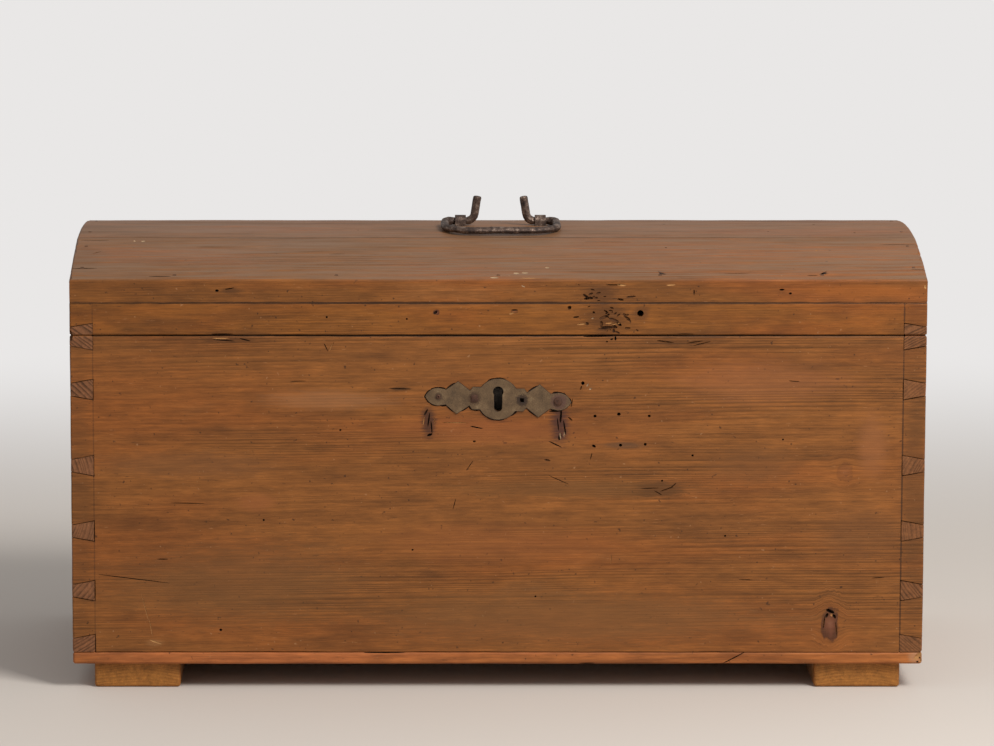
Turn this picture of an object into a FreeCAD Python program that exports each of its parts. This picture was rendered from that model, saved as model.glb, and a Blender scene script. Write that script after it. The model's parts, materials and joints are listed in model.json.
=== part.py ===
import FreeCAD, Part
import math
import os
import Sketcher

# A pine trunk with a low domed lid: dovetailed case on two runners, three crowned staves on a lid frame,
# a bail handle at the crown, two hinges behind and a chest lock behind a cut-out escutcheon.
# The origin is on the floor under the middle of the case. X runs along the front, the front faces -Y.

doc = FreeCAD.newDocument("DomeTopTrunk")
dim = doc.addObject("Spreadsheet::Sheet", "dim")

sizes = {
    # case
    "case_width": 900,
    "case_depth": 420,
    "case_height": 338,
    "board_thickness": 24,
    "end_thickness": 24,
    "arris_radius": 2,
    "nail_fit": 0.05,
    # dovetails of the case: the first pin's drop from the top edge, the fourth's rise from the bottom edge,
    # and how far the two between were marked below an even spacing
    "pin_height": 22,
    "pin_taper": 4.5,
    "pin_first_drop": 57,
    "pin_second_shift": 9.3,
    "pin_third_shift": 7.7,
    "pin_fourth_rise": 66,
    "half_pin_top": 15,
    "half_pin_bottom": 19,
    "joint_gap": 0.15,
    # bottom and runners
    "bottom_thickness": 13,
    "front_plank_width": 148,
    "back_plank_width": 132,
    "plank_gap": 0.5,
    "plank_round": 3,
    "runner_height": 27,
    "runner_width": 91,
    "runner_inset": 22.5,
    "runner_setback": 10,
    "runner_round": 3.5,
    # lid frame
    "lid_gap": 0.8,
    "rail_height": 34,
    "rail_thickness": 24,
    "lid_end_thickness": 24,
    "lid_pin_height": 12.5,
    "lid_pin_taper": 4,
    "old_hole_x": 149,
    "old_hole_rise": 23,
    "old_hole_radius": 3.2,
    # staves
    "stave_thickness": 24,
    "top_stave_width": 168,
    "seam_rise": 30,
    "side_crown": 2.2,
    "top_crown": 4,
    "stave_gap": 0.3,
    "stave_round": 3,
    # bail handle and its staples
    "handle_x": 6,
    "rod_radius": 4,
    "bail_width": 129,
    "bail_reach": 76,
    "bail_shoulder": 10,
    "bail_corner": 30,
    "bail_lift": 0.8,
    "bail_tilt": 2,
    "prong_spread": 50,
    "prong_height": 27,
    "prong_lean": 9,
    "prong_bend": 9,
    "prong_tip_round": 1.5,
    "staple_spread": 87,
    "staple_width": 12,
    "staple_strap": 2.2,
    "staple_clinch": 14,
    "staple_fit": 0.2,
    "leg_fit": 0.1,
    # hinges
    "hinge_inset": 160,
    "hinge_width": 60,
    "hinge_middle": 20,
    "hinge_end_width": 36,
    "hinge_case_drop": 46,
    "hinge_lid_rise": 29,
    "leaf_thickness": 2.5,
    "leaf_corner": 4,
    "knuckle_radius": 5,
    "knuckle_gap": 0.4,
    "hinge_clear": 0.5,
    "hinge_pin_radius": 2.5,
    "hinge_pin_fit": 0.06,
    "hinge_pin_proud": 1.2,
    "hinge_nail_spread": 34,
    "hinge_nail_margin": 12,
    "hinge_tip_margin": 10,
    "hinge_lid_tip_margin": 5,
    # keyhole and escutcheon
    "key_drop": 67,
    "key_head_rise": 8,
    "key_head_radius": 5.2,
    "key_slot_width": 8.2,
    "key_foot_drop": 13,
    "escutcheon_thickness": 1.4,
    "escutcheon_tilt": 2.4,
    "escutcheon_half": 77,
    "disc_radius": 22,
    "bar_half": 12,
    "bar_end": 27,
    "notch_half": 8,
    "inner_notch_x": 30,
    "diamond_x": 43,
    "diamond_half": 17.5,
    "outer_notch_x": 55,
    "lobe_x": 63,
    "lobe_half": 9.5,
    "lobe_radius": 15,
    "plate_nail_inner": 25,
    "plate_nail_outer": 63,
    # chest lock
    "lock_width": 96,
    "lock_height": 92,
    "lock_depth": 14,
    "lock_wall": 2,
    "lock_fit": 0.2,
    "lock_plate_width": 130,
    "lock_plate_height": 104,
    "lock_nail_margin": 8,
    "bolt_drop": 12,
    "bolt_height": 9,
    "bolt_thickness": 4,
    "bolt_length": 58,
    "bolt_throw": 12,
    "bolt_rest_gap": 1.5,
    "talon_width": 20,
    "talon_clear": 9,
    "talon_notch_width": 8,
    "talon_notch_height": 7,
    "guide_radius": 2,
    "guide_fit": 0.1,
    "guide_first_x": 2,
    "guide_second_x": -24,
    "spring_start_x": -42,
    "spring_length": 36,
    "spring_strip": 0.8,
    "spring_width": 5,
    "spring_clear": 0.4,
    "key_pin_radius": 1.8,
    "key_pin_length": 8,
    # catch on the lid
    "catch_x": 22,
    "catch_length": 56,
    "catch_width": 12,
    "catch_thickness": 2.5,
    "loop_thickness": 5,
    "loop_wall": 2,
    "loop_clear": 0.8,
    "slot_clear": 1,
    "catch_nail_margin": 7,
    # nails: head width and height, shank width, length
    "nail_head": 7,
    "nail_head_height": 1.6,
    "nail_head_flat": 2.6,
    "nail_shank": 3,
    "nail_tip": 0.8,
    "bottom_nail_length": 42,
    "bottom_nail_margin": 30,
    "runner_nail_length": 34,
    "runner_nail_margin": 60,
    "stave_nail_head": 5,
    "stave_nail_length": 52,
    "stave_nail_proud": 0.4,
    "stave_nail_margin": 32,
    "rail_nail_margin": 110,
    "hinge_nail_length": 20,
    "plate_nail_head": 6,
    "plate_nail_shank": 2.2,
    "plate_nail_length": 8.5,
    "lock_nail_length": 11,
}

for row, (name, value) in enumerate(sizes.items(), start=1):
    dim.set(f"A{row}", name)
    dim.set(f"B{row}", str(value))
    dim.setAlias(f"B{row}", name)
doc.recompute()

Vector = FreeCAD.Vector
X_AXIS = Vector(1, 0, 0)
Y_AXIS = Vector(0, 1, 0)
Z_AXIS = Vector(0, 0, 1)
TOUCH = 1e-4

# Levels and lines that several pieces share
CASE_Z = "(dim.runner_height + dim.bottom_thickness)"
RIM_Z = f"({CASE_Z} + dim.case_height)"
LID_Z = f"({RIM_Z} + dim.lid_gap)"
INNER_Y = "(dim.board_thickness - dim.case_depth / 2)"
LOCK_MIDDLE = "((dim.lock_depth - dim.lock_wall) / 2)"

# Section of the dome, measured from the underside of the lid frame. A side stave's outer chord climbs from
# the eave arris to the seam, and the top stave's chord is level.
SIDE_RUN = "((dim.case_depth - dim.top_stave_width) / 2)"
SIDE_CHORD = f"sqrt({SIDE_RUN}^2 + dim.seam_rise^2)"
EAVE_EDGE = f"(dim.stave_thickness * {SIDE_CHORD} / {SIDE_RUN})"
ARRIS_Z = f"(dim.rail_height + {EAVE_EDGE})"
SEAM_Z = f"({ARRIS_Z} + dim.seam_rise)"
CROWN_Z = f"({SEAM_Z} + dim.top_crown)"
TOP_UNDER_Z = f"({SEAM_Z} - dim.stave_thickness)"
MITRE_SHIFT = f"(dim.stave_thickness * ({SIDE_CHORD} - {SIDE_RUN}) / dim.seam_rise)"
RAIL_INNER_HEIGHT = f"(dim.rail_height + dim.rail_thickness * dim.seam_rise / {SIDE_RUN})"

subparts = []


def number(expression):
    return float(dim.evalExpression(expression))


def size(name):
    return number(f"dim.{name}")


def keep(item, label):
    item.Label = label
    subparts.append(item)
    return item


def place(item, x="0", y="0", z="0"):
    for axis, expression in zip("xyz", (x, y, z)):
        item.setExpression(f"Placement.Base.{axis}", expression)


def new_body(name):
    return doc.addObject("PartDesign::Body", name)


def sketch(owner, plane, outlines, circles=(), lift="0"):
    """Closed outlines through corners (x, y). A third entry is the radius of an arc to the next corner,
    with its centre on the left of the way there, or on the right where it starts with a minus sign."""
    drawing = owner.newObject("Sketcher::SketchObject", f"{owner.Name}_sketch")
    support = next(item for item in owner.Origin.OriginFeatures if item.Role == plane)
    drawing.AttachmentSupport = (support, [""])
    drawing.MapMode = "FlatFace"
    drawing.setExpression("AttachmentOffset.Base.z", lift)
    rules = []
    formulas = []
    count = 0
    for corners in outlines:
        points = [Vector(number(corner[0]), number(corner[1]), 0) for corner in corners]
        starts = []
        ends = []
        for index, corner in enumerate(corners):
            here = points[index]
            there = points[(index + 1) % len(points)]
            if len(corner) == 2:
                drawing.addGeometry(Part.LineSegment(here, there))
                starts.append((count, 1))
                ends.append((count, 2))
            else:
                clockwise = corner[2].startswith("-")
                formula = corner[2].lstrip("-")
                drawing.addGeometry(arc_between(here, there, number(formula), clockwise))
                starts.append((count, 2 if clockwise else 1))
                ends.append((count, 1 if clockwise else 2))
                formulas.append((len(rules), formula))
                rules.append(Sketcher.Constraint("Radius", count, number(formula)))
            count += 1
        for index, corner in enumerate(corners):
            rules.append(Sketcher.Constraint("Coincident", *ends[index - 1], *starts[index]))
            for kind, formula, value in (
                ("DistanceX", corner[0], points[index].x),
                ("DistanceY", corner[1], points[index].y),
            ):
                formulas.append((len(rules), formula))
                rules.append(Sketcher.Constraint(kind, -1, 1, *starts[index], value))
    for x, y, radius in circles:
        centre = Vector(number(x), number(y), 0)
        drawing.addGeometry(Part.Circle(centre, Z_AXIS, number(radius)))
        for kind, formula, value in (("DistanceX", x, centre.x), ("DistanceY", y, centre.y)):
            formulas.append((len(rules), formula))
            rules.append(Sketcher.Constraint(kind, -1, 1, count, 3, value))
        formulas.append((len(rules), radius))
        rules.append(Sketcher.Constraint("Radius", count, number(radius)))
        count += 1
    drawing.addConstraint(rules)
    for index, formula in formulas:
        drawing.setExpression(f"Constraints[{index}]", formula)
    return drawing


def arc_between(here, there, radius, clockwise):
    way = there - here
    side = Vector(-way.y, way.x, 0).normalize() * (-1 if clockwise else 1)
    reach = math.sqrt(max(radius**2 - (way.Length / 2) ** 2, 0))
    centre = here + way / 2 + side * reach
    first, last = (there, here) if clockwise else (here, there)
    angles = [math.atan2(point.y - centre.y, point.x - centre.x) for point in (first, last)]
    return Part.ArcOfCircle(Part.Circle(centre, Z_AXIS, radius), *angles)


def rectangle(left, low, right, high):
    return [(left, low), (right, low), (right, high), (left, high)]


def pad(owner, drawing, length, both=False, reverse=False):
    feature = owner.newObject("PartDesign::Pad", f"{owner.Name}_pad")
    feature.Profile = drawing
    feature.setExpression("Length", length)
    feature.Midplane = both
    feature.Reversed = reverse
    doc.recompute()
    return feature


def pocket(owner, drawing, depth="", reverse=False):
    before = owner.Shape.Volume
    feature = owner.newObject("PartDesign::Pocket", f"{owner.Name}_pocket")
    feature.Profile = drawing
    feature.Reversed = reverse
    if depth:
        feature.setExpression("Length", depth)
    else:
        feature.Type = "ThroughAll"
        feature.Midplane = True
    doc.recompute()
    if owner.Shape.Volume > before - TOUCH:
        raise RuntimeError(f"{feature.Name} cuts nothing")
    return feature


def round_edges(owner, radius, chosen):
    base = owner.Tip
    names = [f"Edge{i}" for i, edge in enumerate(base.Shape.Edges, 1) if chosen(edge.BoundBox)]
    feature = owner.newObject("PartDesign::Fillet", f"{owner.Name}_round")
    feature.Base = (base, names)
    feature.setExpression("Radius", radius)
    doc.recompute()
    return feature


def cut(label, base, tools):
    result = doc.addObject("Part::Cut", label)
    result.Base = base
    if len(tools) == 1:
        result.Tool = tools[0]
    else:
        joined = doc.addObject("Part::Compound", f"{label}_tools")
        joined.Links = tools
        result.Tool = joined
    return keep(result, label)


def lies_at(low, high, limit):
    """Whether an edge lies wholly in one of the two planes at a distance from the middle."""
    return abs(abs(low) - limit) < TOUCH and abs(abs(high) - limit) < TOUCH


def square(half, z):
    corners = [(-half, -half), (half, -half), (half, half), (-half, half), (-half, -half)]
    return Part.makePolygon([Vector(x, y, z) for x, y in corners])


def forged_nail(head, shank, length, grow=0.0):
    """A square nail along Z: a low four-sided head on z = 0 and a shank that tapers down to its tip."""
    head_top = size("nail_head_height")
    flat = size("nail_head_flat") / 2
    cap = Part.makeLoft([square(head / 2 + grow, 0), square(flat + grow, head_top)], True, True)
    tip = size("nail_tip") / 2
    stem = Part.makeLoft([square(tip + grow, -length), square(shank / 2 + grow, 0)], True, True)
    return cap.fuse(stem).removeSplitter()


def nail_group(label, head, shank, length, places):
    """Identical nails as one group, and the slightly larger shapes that their holes are cut with."""
    made = []
    for name, grow in ((label, 0.0), (f"{label}_holes", size("nail_fit"))):
        nail = forged_nail(size(head), size(shank), size(length), grow)
        group = doc.addObject("Part::Feature", name)
        group.Shape = Part.makeCompound([nail.transformed(where.toMatrix()) for where in places])
        made.append(group)
    keep(made[0], label)
    return made[1]


def aim(x, y, z, direction):
    """Places a nail with its head's seat at a point and its head facing along a direction."""
    return FreeCAD.Placement(Vector(x, y, z), FreeCAD.Rotation(Z_AXIS, direction))


# Plain numbers that the nails are set out with
half_width = size("case_width") / 2
half_depth = size("case_depth") / 2
case_z = number(CASE_Z)
rim_z = number(RIM_Z)
lid_z = number(LID_Z)
inner_y = number(INNER_Y)

# Nails

plank_edges = [
    -half_depth,
    -half_depth + size("front_plank_width"),
    half_depth - size("back_plank_width"),
    half_depth,
]

bottom_places = []
long_pitch = (half_width - size("runner_inset") - size("runner_width") - size("bottom_nail_margin")) / 2
for side in (-1, 1):
    end_x = side * (half_width - size("end_thickness") / 2)
    long_y = side * (half_depth - size("board_thickness") / 2)
    for step in range(-2, 3):
        bottom_places.append(aim(step * long_pitch, long_y, size("runner_height"), -Z_AXIS))
    for low, high in zip(plank_edges, plank_edges[1:]):
        middle = (low + high) / 2
        for way in (-1, 1):
            nail_y = middle + way * ((high - low) / 2 - size("bottom_nail_margin"))
            bottom_places.append(aim(end_x, nail_y, size("runner_height"), -Z_AXIS))
bottom_holes = nail_group("bottom_nails", "nail_head", "nail_shank", "bottom_nail_length", bottom_places)

runner_middle = half_width - size("runner_inset") - size("runner_width") / 2
runner_reach = half_depth - size("runner_setback") - size("runner_nail_margin")
runner_places = []
for side in (-1, 1):
    for step in (-1, 0, 1):
        runner_places.append(aim(side * runner_middle, step * runner_reach, case_z, Z_AXIS))
runner_holes = nail_group("runner_nails", "nail_head", "nail_shank", "runner_nail_length", runner_places)

hinge_y = half_depth + size("leaf_thickness")
hinge_z = (rim_z + lid_z) / 2
hinge_middle_x = half_width - size("hinge_inset")
case_leaf_places = []
lid_leaf_places = []
for side in (-1, 1):
    for way in (-1, 1):
        nail_x = side * hinge_middle_x + way * size("hinge_nail_spread") / 2
        case_leaf_places.append(aim(nail_x, hinge_y, hinge_z - size("hinge_nail_margin"), Y_AXIS))
        lid_leaf_places.append(aim(nail_x, hinge_y, hinge_z + size("hinge_nail_margin"), Y_AXIS))
    tip_x = side * hinge_middle_x
    tip_drop = size("hinge_case_drop") - size("hinge_tip_margin")
    tip_rise = size("hinge_lid_rise") - size("hinge_lid_tip_margin")
    case_leaf_places.append(aim(tip_x, hinge_y, hinge_z - tip_drop, Y_AXIS))
    lid_leaf_places.append(aim(tip_x, hinge_y, hinge_z + tip_rise, Y_AXIS))
case_hinge_holes = nail_group(
    "case_hinge_nails", "plate_nail_head", "nail_shank", "hinge_nail_length", case_leaf_places
)
lid_hinge_holes = nail_group(
    "lid_hinge_nails", "plate_nail_head", "nail_shank", "hinge_nail_length", lid_leaf_places
)

# The fourth nail hole of the escutcheon is empty.
plate_y = -half_depth - size("escutcheon_thickness")
key_z = rim_z - size("key_drop")
plate_slope = math.tan(math.radians(size("escutcheon_tilt")))
plate_places = []
for nail_x in (-size("plate_nail_outer"), -size("plate_nail_inner"), size("plate_nail_outer")):
    plate_places.append(aim(nail_x, plate_y, key_z - nail_x * plate_slope, -Y_AXIS))
plate_holes = nail_group(
    "escutcheon_nails", "plate_nail_head", "plate_nail_shank", "plate_nail_length", plate_places
)

lock_nail_x = size("lock_plate_width") / 2 - size("lock_nail_margin")
lock_nail_y = inner_y + size("lock_wall")
lock_places = []
for side in (-1, 1):
    for drop in (size("lock_nail_margin"), size("lock_plate_height") - size("lock_nail_margin")):
        lock_places.append(aim(side * lock_nail_x, lock_nail_y, rim_z - drop, Y_AXIS))
lock_holes = nail_group("lock_nails", "plate_nail_head", "plate_nail_shank", "lock_nail_length", lock_places)

# The catch's nails are driven up, with their heads sunk in the plate so that the lid still shuts.
catch_y = inner_y - number(LOCK_MIDDLE)
catch_nail_z = lid_z + size("nail_head_height")
catch_places = []
for side in (-1, 1):
    nail_x = size("catch_x") + side * (size("catch_length") / 2 - size("catch_nail_margin"))
    catch_places.append(aim(nail_x, catch_y, catch_nail_z, -Z_AXIS))
catch_holes = nail_group("catch_nails", "plate_nail_head", "plate_nail_shank", "lock_nail_length", catch_places)

# Stave nails stand square to each stave over the lid ends, and plumb over both rails, with their heads let in.
side_slope = math.atan2(size("seam_rise"), number(SIDE_RUN))
head_seat = size("nail_head_height") - size("stave_nail_proud")
stave_places = []


def stave_nail(x, along, chord, crown, foot, tilt):
    """A nail at a distance along a stave's outer chord from its foot, on the crowned face."""
    share = along / chord
    lift = 4 * crown * share * (1 - share) - head_seat
    y = foot.y + along * math.cos(tilt) - lift * math.sin(tilt)
    z = foot.z + along * math.sin(tilt) + lift * math.cos(tilt)
    return aim(x, y, z, Vector(0, -math.sin(tilt), math.cos(tilt)))


def rail_nail(x, side):
    """A nail driven plumb through a side stave into the middle of the rail below it."""
    across = size("rail_thickness") / 2
    share = across / number(SIDE_RUN)
    crowning = 4 * size("side_crown") * share * (1 - share) / math.cos(side_slope)
    face_z = lid_z + number(ARRIS_Z) + across * math.tan(side_slope) + crowning
    return aim(x, side * (half_depth - across), face_z - head_seat, Z_AXIS)


top_width = size("top_stave_width")
side_chord = number(SIDE_CHORD)
seam_z = lid_z + number(SEAM_Z)
stave_feet = (
    (Vector(0, -half_depth, lid_z + number(ARRIS_Z)), side_chord, "side_crown", side_slope),
    (Vector(0, -top_width / 2, seam_z), top_width, "top_crown", 0),
    (Vector(0, top_width / 2, seam_z), side_chord, "side_crown", -side_slope),
)
for foot, chord, crown, tilt in stave_feet:
    for side in (-1, 1):
        end_x = side * (half_width - size("lid_end_thickness") / 2)
        for along in (size("stave_nail_margin"), chord - size("stave_nail_margin")):
            stave_places.append(stave_nail(end_x, along, chord, size(crown), foot, tilt))
rail_pitch = (half_width - size("rail_nail_margin")) / 2
for step in range(-2, 3):
    for side in (-1, 1):
        stave_places.append(rail_nail(step * rail_pitch, side))
stave_holes = nail_group("stave_nails", "stave_nail_head", "nail_shank", "stave_nail_length", stave_places)

# The keyhole, as the shape that is cut through the escutcheon, the front board and the lock's case

key_waist = "(dim.key_head_rise - sqrt(dim.key_head_radius^2 - (dim.key_slot_width / 2)^2))"
key_foot = "(dim.key_slot_width / 2 - dim.key_foot_drop)"
keyhole = new_body("keyhole")
keyhole_outline = [
    ("dim.key_slot_width / 2", key_foot),
    ("dim.key_slot_width / 2", key_waist, "dim.key_head_radius"),
    ("0", "dim.key_head_rise + dim.key_head_radius", "dim.key_head_radius"),
    ("-dim.key_slot_width / 2", key_waist),
    ("-dim.key_slot_width / 2", key_foot, "dim.key_slot_width / 2"),
    ("0", "-dim.key_foot_drop", "dim.key_slot_width / 2"),
]
pad(keyhole, sketch(keyhole, "XZ_Plane", [keyhole_outline]), "2 * dim.board_thickness", both=True)
place(keyhole, y="-dim.case_depth / 2", z=f"{RIM_Z} - dim.key_drop")


# Case boards

def pin_outlines(side, grow):
    """The pins at one end of a board, from the front: wide at the shoulder, narrow at the outside."""
    outer = f"{side} * dim.case_width / 2"
    inner = f"{side} * (dim.case_width / 2 - dim.end_thickness - {grow})"
    wide = f"(dim.pin_height / 2 + {grow})"
    narrow = f"(dim.pin_height / 2 - dim.pin_taper + {grow})"
    outlines = [
        [
            (inner, f"dim.case_height - dim.half_pin_top - {grow}"),
            (outer, f"dim.case_height - dim.half_pin_top + dim.pin_taper - {grow}"),
            (outer, "dim.case_height"),
            (inner, "dim.case_height"),
        ],
        [
            (inner, "0"),
            (outer, "0"),
            (outer, f"dim.half_pin_bottom - dim.pin_taper + {grow}"),
            (inner, f"dim.half_pin_bottom + {grow}"),
        ],
    ]
    pin_run = "(dim.case_height - dim.pin_first_drop - dim.pin_fourth_rise)"
    for middle in (
        "dim.case_height - dim.pin_first_drop",
        f"dim.pin_fourth_rise + {pin_run} * 2 / 3 - dim.pin_second_shift",
        f"dim.pin_fourth_rise + {pin_run} / 3 - dim.pin_third_shift",
        "dim.pin_fourth_rise",
    ):
        outlines.append(
            [
                (inner, f"{middle} - {wide}"),
                (outer, f"{middle} - {narrow}"),
                (outer, f"{middle} + {narrow}"),
                (inner, f"{middle} + {wide}"),
            ]
        )
    return outlines


def long_board(name, front):
    """A front or back board with the sockets that leave its tails. Its outside is rounded along the top and
    down the corners. The front one also has the mortise that the lock is let into."""
    board = new_body(name)
    face = rectangle("-dim.case_width / 2", "0", "dim.case_width / 2", "dim.case_height")
    pad(board, sketch(board, "XZ_Plane", [face]), "dim.board_thickness", reverse=not front)
    sockets = pin_outlines(-1, "dim.joint_gap") + pin_outlines(1, "dim.joint_gap")
    pocket(board, sketch(board, "XZ_Plane", sockets))

    def worn(box):
        outside = lies_at(box.YMin, box.YMax, size("board_thickness"))
        top = box.ZMin > size("case_height") - TOUCH
        corner = lies_at(box.XMin, box.XMax, half_width)
        return outside and (top or corner)

    round_edges(board, "dim.arris_radius", worn)
    if front:
        low = "dim.case_height - dim.lock_height"
        mortise = rectangle("-dim.lock_width / 2", low, "dim.lock_width / 2", "dim.case_height")
        pocket(board, sketch(board, "XZ_Plane", [mortise]), "dim.lock_depth", reverse=True)
        place(board, y=INNER_Y, z=CASE_Z)
    else:
        place(board, y=f"-{INNER_Y}", z=CASE_Z)
    return board


front_blank = long_board("front_board_blank", True)
back_blank = long_board("back_board_blank", False)
cut("front_board", front_blank, [keyhole, bottom_holes, plate_holes, lock_holes])
cut("back_board", back_blank, [bottom_holes, case_hinge_holes])


def end_board(name, side):
    """An end board between the long boards, with pins that reach through them to the outside."""
    board = new_body(name)
    inner = f"{side} * (dim.case_width / 2 - dim.end_thickness)"
    outer = f"{side} * dim.case_width / 2"
    core = rectangle(inner, "0", outer, "dim.case_height")
    between = "dim.case_depth - 2 * dim.board_thickness"
    pad(board, sketch(board, "XZ_Plane", [core]), between, both=True)
    pad(board, sketch(board, "XZ_Plane", pin_outlines(side, "0")), "dim.case_depth", both=True)

    def worn(box):
        end = lies_at(box.XMin, box.XMax, half_width)
        corner = lies_at(box.YMin, box.YMax, half_depth)
        top = box.ZMin > size("case_height") - TOUCH
        return end and (corner or top) or corner and top

    round_edges(board, "dim.arris_radius", worn)
    place(board, z=CASE_Z)
    return board


for name, side in (("left_end_board", -1), ("right_end_board", 1)):
    cut(name, end_board(f"{name}_blank", side), [bottom_holes])


# Bottom planks and runners

def plank(name, low, high, front_edge, back_edge):
    """A bottom plank along X between two lines of Y, rounded where it shows outside."""
    board = new_body(name)
    shape = rectangle("-dim.case_width / 2", low, "dim.case_width / 2", high)
    pad(board, sketch(board, "XY_Plane", [shape]), "dim.bottom_thickness")

    def worn(box):
        level = box.ZLength < TOUCH
        at_front = front_edge and box.YMax < -half_depth + TOUCH
        at_back = back_edge and box.YMin > half_depth - TOUCH
        at_end = lies_at(box.XMin, box.XMax, half_width)
        return at_front or at_back or at_end and level

    round_edges(board, "dim.plank_round", worn)
    place(board, z="dim.runner_height")
    return board


front_seam = "dim.front_plank_width - dim.case_depth / 2"
back_seam = "dim.case_depth / 2 - dim.back_plank_width"
half_seam = "dim.plank_gap / 2"
planks = (
    ("bottom_plank_front", "-dim.case_depth / 2", f"{front_seam} - {half_seam}", True, False),
    ("bottom_plank_middle", f"{front_seam} + {half_seam}", f"{back_seam} - {half_seam}", False, False),
    ("bottom_plank_back", f"{back_seam} + {half_seam}", "dim.case_depth / 2", False, True),
)
for name, low, high, front_edge, back_edge in planks:
    cut(name, plank(f"{name}_blank", low, high, front_edge, back_edge), [bottom_holes, runner_holes])

for name, side in (("left_runner", -1), ("right_runner", 1)):
    runner = new_body(f"{name}_blank")
    near = f"{side} * (dim.case_width / 2 - dim.runner_inset - dim.runner_width)"
    far = f"{side} * (dim.case_width / 2 - dim.runner_inset)"
    reach = "(dim.case_depth / 2 - dim.runner_setback)"
    sole = rectangle(near, f"-{reach}", far, reach)
    pad(runner, sketch(runner, "XY_Plane", [sole]), "dim.runner_height")
    round_edges(runner, "dim.runner_round", lambda box: box.ZMin < TOUCH)
    cut(name, runner, [runner_holes])


# Lid frame

def lid_pin(side, grow):
    """The half pin at the foot of a lid corner, seen from the front."""
    outer = f"{side} * dim.case_width / 2"
    inner = f"{side} * (dim.case_width / 2 - dim.lid_end_thickness - {grow})"
    return [
        (inner, "0"),
        (outer, "0"),
        (outer, f"dim.lid_pin_height - dim.lid_pin_taper + {grow}"),
        (inner, f"dim.lid_pin_height + {grow}"),
    ]


def lid_rail(name, side):
    """A rail along X with its top planed to the slope of the side stave."""
    rail = new_body(name)
    outer = f"{side} * dim.case_depth / 2"
    inner = f"{side} * (dim.case_depth / 2 - dim.rail_thickness)"
    section = [(outer, "0"), (inner, "0"), (inner, RAIL_INNER_HEIGHT), (outer, "dim.rail_height")]
    pad(rail, sketch(rail, "YZ_Plane", [section]), "dim.case_width", both=True)
    sockets = [lid_pin(-1, "dim.joint_gap"), lid_pin(1, "dim.joint_gap")]
    pocket(rail, sketch(rail, "XZ_Plane", sockets))

    def worn(box):
        outside = lies_at(box.YMin, box.YMax, half_depth)
        foot = box.ZMax < TOUCH
        corner = lies_at(box.XMin, box.XMax, half_width)
        return outside and (foot or corner)

    round_edges(rail, "dim.arris_radius", worn)
    place(rail, z=LID_Z)
    return rail


front_rail = lid_rail("lid_front_rail_blank", -1)
old_hole = ("dim.old_hole_x", "dim.old_hole_rise", "dim.old_hole_radius")
pocket(front_rail, sketch(front_rail, "XZ_Plane", [], [old_hole]))
catch_middle = f"({INNER_Y} - {LOCK_MIDDLE})"
catch_recess = rectangle(
    "dim.catch_x - dim.catch_length / 2 - dim.leg_fit",
    f"{catch_middle} - dim.catch_width / 2 - dim.leg_fit",
    "dim.catch_x + dim.catch_length / 2 + dim.leg_fit",
    f"{catch_middle} + dim.catch_width / 2 + dim.leg_fit",
)
pocket(front_rail, sketch(front_rail, "XY_Plane", [catch_recess]), "dim.catch_thickness", reverse=True)
cut("lid_front_rail", front_rail, [stave_holes, catch_holes])
cut("lid_back_rail", lid_rail("lid_back_rail_blank", 1), [stave_holes, lid_hinge_holes])

mitre_y = f"(dim.top_stave_width / 2 - {MITRE_SHIFT})"
shoulder_y = "(dim.case_depth / 2 - dim.rail_thickness)"


def lid_end(name, side):
    """A lid end with its top sawn to the three flats under the staves."""
    board = new_body(name)
    gable = [
        (f"-{shoulder_y}", "0"),
        (shoulder_y, "0"),
        (shoulder_y, RAIL_INNER_HEIGHT),
        (mitre_y, TOP_UNDER_Z),
        (f"-{mitre_y}", TOP_UNDER_Z),
        (f"-{shoulder_y}", RAIL_INNER_HEIGHT),
    ]
    outside = "dim.case_width / 2 - dim.lid_end_thickness"
    lift = outside if side > 0 else f"-({outside})"
    pad(board, sketch(board, "YZ_Plane", [gable], lift=lift), "dim.lid_end_thickness", reverse=side < 0)
    pad(board, sketch(board, "XZ_Plane", [lid_pin(side, "0")]), "dim.case_depth", both=True)

    def worn(box):
        end = lies_at(box.XMin, box.XMax, half_width)
        corner = lies_at(box.YMin, box.YMax, half_depth)
        foot = box.ZMax < TOUCH
        return end and (corner or foot) or corner and foot

    round_edges(board, "dim.arris_radius", worn)
    place(board, z=LID_Z)
    return board


for name, side in (("lid_left_end", -1), ("lid_right_end", 1)):
    cut(name, lid_end(f"{name}_blank", side), [stave_holes])


# Staves: flat beneath, mitred along the seams and planed to a slight crown on top

def crown_radius(chord, crown):
    return f"(({chord} / 2)^2 + {crown}^2) / (2 * {crown})"


def wear_stave(stave, lowest):
    """Rounds the outer edges of both ends, and an outer arris that stands free."""

    def worn(box):
        at_end = lies_at(box.XMin, box.XMax, half_width)
        crowned = box.YLength > size("stave_thickness") and box.ZMax > lowest
        arris = lies_at(box.YMin, box.YMax, half_depth) and box.ZLength < TOUCH
        return at_end and crowned or arris and box.ZMin > lowest

    round_edges(stave, "dim.stave_round", worn)
    place(stave, z=LID_Z)


seam_y = "(dim.top_stave_width / 2)"
half_gap = "dim.stave_gap / 2"
for name, side in (("front_stave", -1), ("back_stave", 1)):
    stave = new_body(f"{name}_blank")
    eave_y = f"{side} * dim.case_depth / 2"
    turn = "-" if side > 0 else ""
    section = [
        (eave_y, "dim.rail_height"),
        (f"{side} * ({mitre_y} + {half_gap})", TOP_UNDER_Z),
        (f"{side} * ({seam_y} + {half_gap})", SEAM_Z, turn + crown_radius(SIDE_CHORD, "dim.side_crown")),
        (eave_y, ARRIS_Z),
    ]
    pad(stave, sketch(stave, "YZ_Plane", [section]), "dim.case_width", both=True)
    wear_stave(stave, number(ARRIS_Z) - TOUCH)
    holes = [stave_holes] if side < 0 else [stave_holes, lid_hinge_holes]
    cut(name, stave, holes)

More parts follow.
